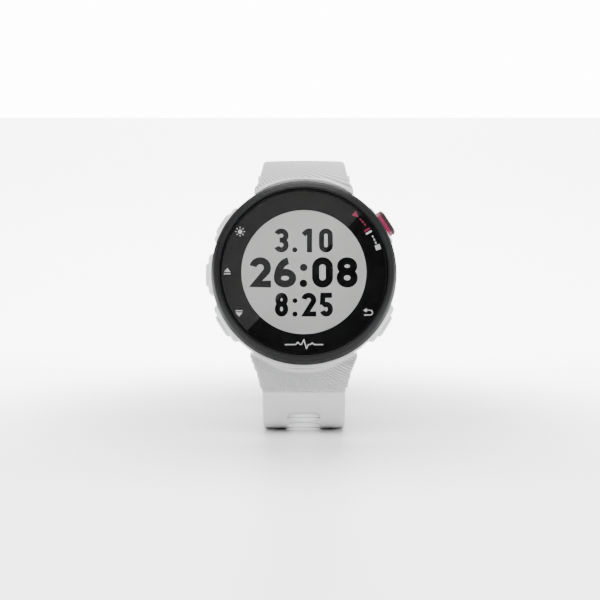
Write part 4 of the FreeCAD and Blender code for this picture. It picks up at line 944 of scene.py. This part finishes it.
def buckle():
    """A moulded frame of two slanting cheeks that carry the pin, joined by a cross bar."""
    front = INNER_LAYER + LAYER_GAP + STRAP_T + 0.35
    bar_depth, bar_height = front + 0.9, PIN_HEIGHT - BAR_DROP
    reach = Vector((0, bar_height - PIN[1], -(bar_depth - PIN[0])))
    length, along = reach.length, reach.normalized()
    out = Vector((0, along.z, -along.y))
    side_x, turn = 10.6, 1.6
    hub = Vector((side_x, PIN[1], -PIN[0]))
    # the cheek's rounded end round the pin, then its taper, the corner and half the bar
    stations = [(hub + along * shift, (1, 0, 0), out, 0.98, half, min(0.45, half * 0.8))
                for shift, half in ((-1.35, 0.5), (-1.2, 0.95), (-0.7, 1.25), (0, 1.4))]
    for k in range(1, 9):
        stations.append((hub + along * (length - turn) * k / 8, (1, 0, 0), out, 0.98, 1.4 - 0.45 * k / 8, 0.45))
    corner = hub - Vector((turn, 0, 0)) + along * (length - turn)
    for k in range(1, 7):
        a = math.radians(15 * k)
        outward = Vector((1, 0, 0)) * math.cos(a) + along * math.sin(a)
        stations.append((corner + outward * turn, outward, out, 0.98 + 0.42 * k / 6, 0.95 - 0.07 * k / 6, 0.45))
    bar_middle = Vector((0, PIN[1], -PIN[0])) + along * length
    for x, low in ((6.0, 0.88), (3.5, 0.88), (3.2, 0.62), (0, 0.6)):
        stations.append((bar_middle + Vector((x, 0, 0)) + out * (low - 0.88), along, out, 1.4, low, 0.42))
    mirror = Matrix.Scale(-1, 3, Vector((1, 0, 0)))
    left = [(mirror @ Vector(m), mirror @ Vector(ac), up, a, b, c) for m, ac, up, a, b, c in reversed(stations[:-1])]
    left = [(m, -Vector(ac), up, a, b, c) for m, ac, up, a, b, c in left]
    frame_mesh = swept("buckle_loop", stations + left, "buckle_polymer")
    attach(frame_mesh, "buckle")
    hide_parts("buckle_frame")


# --- Studio -------------------------------------------------------------------------------------------------------
CAMERA_DISTANCE, CAMERA_ELEVATION = 0.38, math.radians(6.2)
IMAGE_SCALE = 4.727                  # image points per millimetre at the bezel
AIM_SHIFT = (-0.82, -5.8)           # from the bezel's centre to the middle of the image, mm
CARD_DISTANCE, CARD_SIZE, CARD_GLOW = 0.9, 0.5, 0.4
FLOOR_GLOW, BACKDROP_GLOW, SIDE_GLOW = 6.0, 14.0, 0.5


def studio():
    floor_mesh = bpy.data.meshes.new("floor")
    size = 3.0
    floor_mesh.from_pydata([(-size, -size, 0), (size, -size, 0), (size, size, 0), (-size, size, 0)], [], [(0, 1, 2, 3)])
    floor_finish = Finish("white studio floor", "f4f4f4", 0.45)
    floor_finish.grain(0.4, 0.003)
    # away from the watch the floor glows, so that it meets the backdrop as plain white; the glow fades out towards the
    # watch, which paints a soft grey shadow round its foot
    distance = floor_finish.add("VectorMath", {0: floor_finish.place()}, operation="LENGTH").outputs["Value"]
    glow = floor_finish.add("MapRange", {"Value": distance, "From Min": 0.026, "From Max": 0.09, "To Min": 0.0,
                                         "To Max": FLOOR_GLOW}, interpolation_type="SMOOTHSTEP")
    # the glow is weaker in front of the watch: painted shade on the floor there
    place = floor_finish.add("SeparateXYZ", {0: floor_finish.place()}).outputs["Y"]
    behind = floor_finish.add("MapRange", {"Value": place, "From Min": -0.05, "From Max": 0.1, "To Min": 0.3,
                                           "To Max": 1.0})
    strength = floor_finish.add("Math", {0: glow.outputs[0], 1: behind.outputs[0]}, operation="MULTIPLY")
    floor_finish.set("Emission Color", colour("ffffff"))
    floor_finish.set("Emission Strength", strength.outputs[0])
    floor_mesh.materials.append(floor_finish.material)
    floor = bpy.data.objects.new("floor", floor_mesh)
    bpy.context.collection.objects.link(floor)

    world = bpy.data.worlds.new("studio")
    world.use_nodes = True
    nodes, links = world.node_tree.nodes, world.node_tree.links
    coord = nodes.new("ShaderNodeTexCoord")
    split = nodes.new("ShaderNodeSeparateXYZ")
    links.new(coord.outputs["Generated"], split.inputs[0])
    # dark in front, for the glass to reflect; pale all round; white behind
    steps = []
    for low, high, dark, bright in ((-0.75, -0.25, 0.04, SIDE_GLOW), (0.955, 0.98, 0.0, BACKDROP_GLOW)):
        ramp = nodes.new("ShaderNodeMapRange")
        for socket, value in (("From Min", low), ("From Max", high), ("To Min", dark), ("To Max", bright)):
            ramp.inputs[socket].default_value = value
        links.new(split.outputs["Y"], ramp.inputs["Value"])
        steps.append(ramp.outputs[0])
    total = nodes.new("ShaderNodeMath")
    links.new(steps[0], total.inputs[0])
    links.new(steps[1], total.inputs[1])
    nodes["Background"].inputs["Color"].default_value = (1, 1, 1, 1)
    links.new(total.outputs[0], nodes["Background"].inputs["Strength"])
    bpy.context.scene.world = world

    def softbox(name, place, size_x, size_y, power):
        data = bpy.data.lights.new(name, "AREA")
        data.shape = "RECTANGLE"
        data.size, data.size_y, data.energy = size_x, size_y, power
        light = bpy.data.objects.new(name, data)
        aim = (middle - Vector(place)).to_track_quat("-Z", "Y")
        light.matrix_world = Matrix.Translation(place) @ aim.to_matrix().to_4x4()
        bpy.context.collection.objects.link(light)

    middle = Vector((0, 0, 0.03))
    softbox("key", (-0.5, -0.35, 0.6), 0.4, 0.4, 2.5)
    softbox("fill", (0.6, -0.3, 0.4), 0.3, 0.5, 2)
    softbox("front", (0, -0.3, 0.75), 0.45, 0.4, 8)
    softbox("top", (0, 0.35, 0.7), 0.6, 0.4, 5)
    # a dim card in front, whose lower right edge crosses the glass as a slanting reflection
    ray = Vector((0, -0.928, 0.371))
    across, lift = Vector((1, 0, 0)), Vector((0, 0.371, 0.928))
    slant = math.radians(45.8)
    along = across * math.cos(slant) + lift * math.sin(slant)
    out = -across * math.sin(slant) + lift * math.cos(slant)
    start = row_point(0, 0) + ray * CARD_DISTANCE
    half = CARD_SIZE / 2
    corners = [start - along * half, start + along * half, start + along * half + out * CARD_SIZE,
               start - along * half + out * CARD_SIZE]
    card_mesh = bpy.data.meshes.new("card")
    card_mesh.from_pydata([tuple(c) for c in corners], [], [(0, 1, 2, 3)])
    card_mesh.materials.append(Finish("dim lamp card", "000000", 1.0, Emission_Color=colour("ffffff"),
                                      Emission_Strength=CARD_GLOW).material)
    card = bpy.data.objects.new("card", card_mesh)
    bpy.context.collection.objects.link(card)

    camera_data = bpy.data.cameras.new("camera")
    camera_data.sensor_width = 36
    camera_data.lens = IMAGE_SCALE * camera_data.sensor_width / 600 * CAMERA_DISTANCE / MM
    camera_data.clip_start = 0.01
    camera = bpy.data.objects.new("camera", camera_data)
    bezel_middle = row_point(2.2, 0)
    towards = Vector((0, -math.cos(CAMERA_ELEVATION), math.sin(CAMERA_ELEVATION)))
    place = bezel_middle + towards * CAMERA_DISTANCE
    image_up = Vector((0, math.sin(CAMERA_ELEVATION), math.cos(CAMERA_ELEVATION)))
    target = bezel_middle + Vector((AIM_SHIFT[0] * MM, 0, 0)) + image_up * AIM_SHIFT[1] * MM
    camera.matrix_world = Matrix.Translation(place) @ (target - place).to_track_quat("-Z", "Y").to_matrix().to_4x4()
    bpy.context.collection.objects.link(camera)
    bpy.context.scene.camera = camera


def paint_cad_nodes():
    """Gives each CAD node the material of its slot."""
    slots = {s["node"]: s["material_slot"] for s in frame["record"]["subparts"]}
    for node, obj in frame["nodes"].items():
        obj.data.materials.clear()
        obj.data.materials.append(FINISH[slots[node]])


FINISH = finishes()
paint_cad_nodes()
front()
legends()
digits()
buttons()
straps()
keeper()
buckle()
studio()
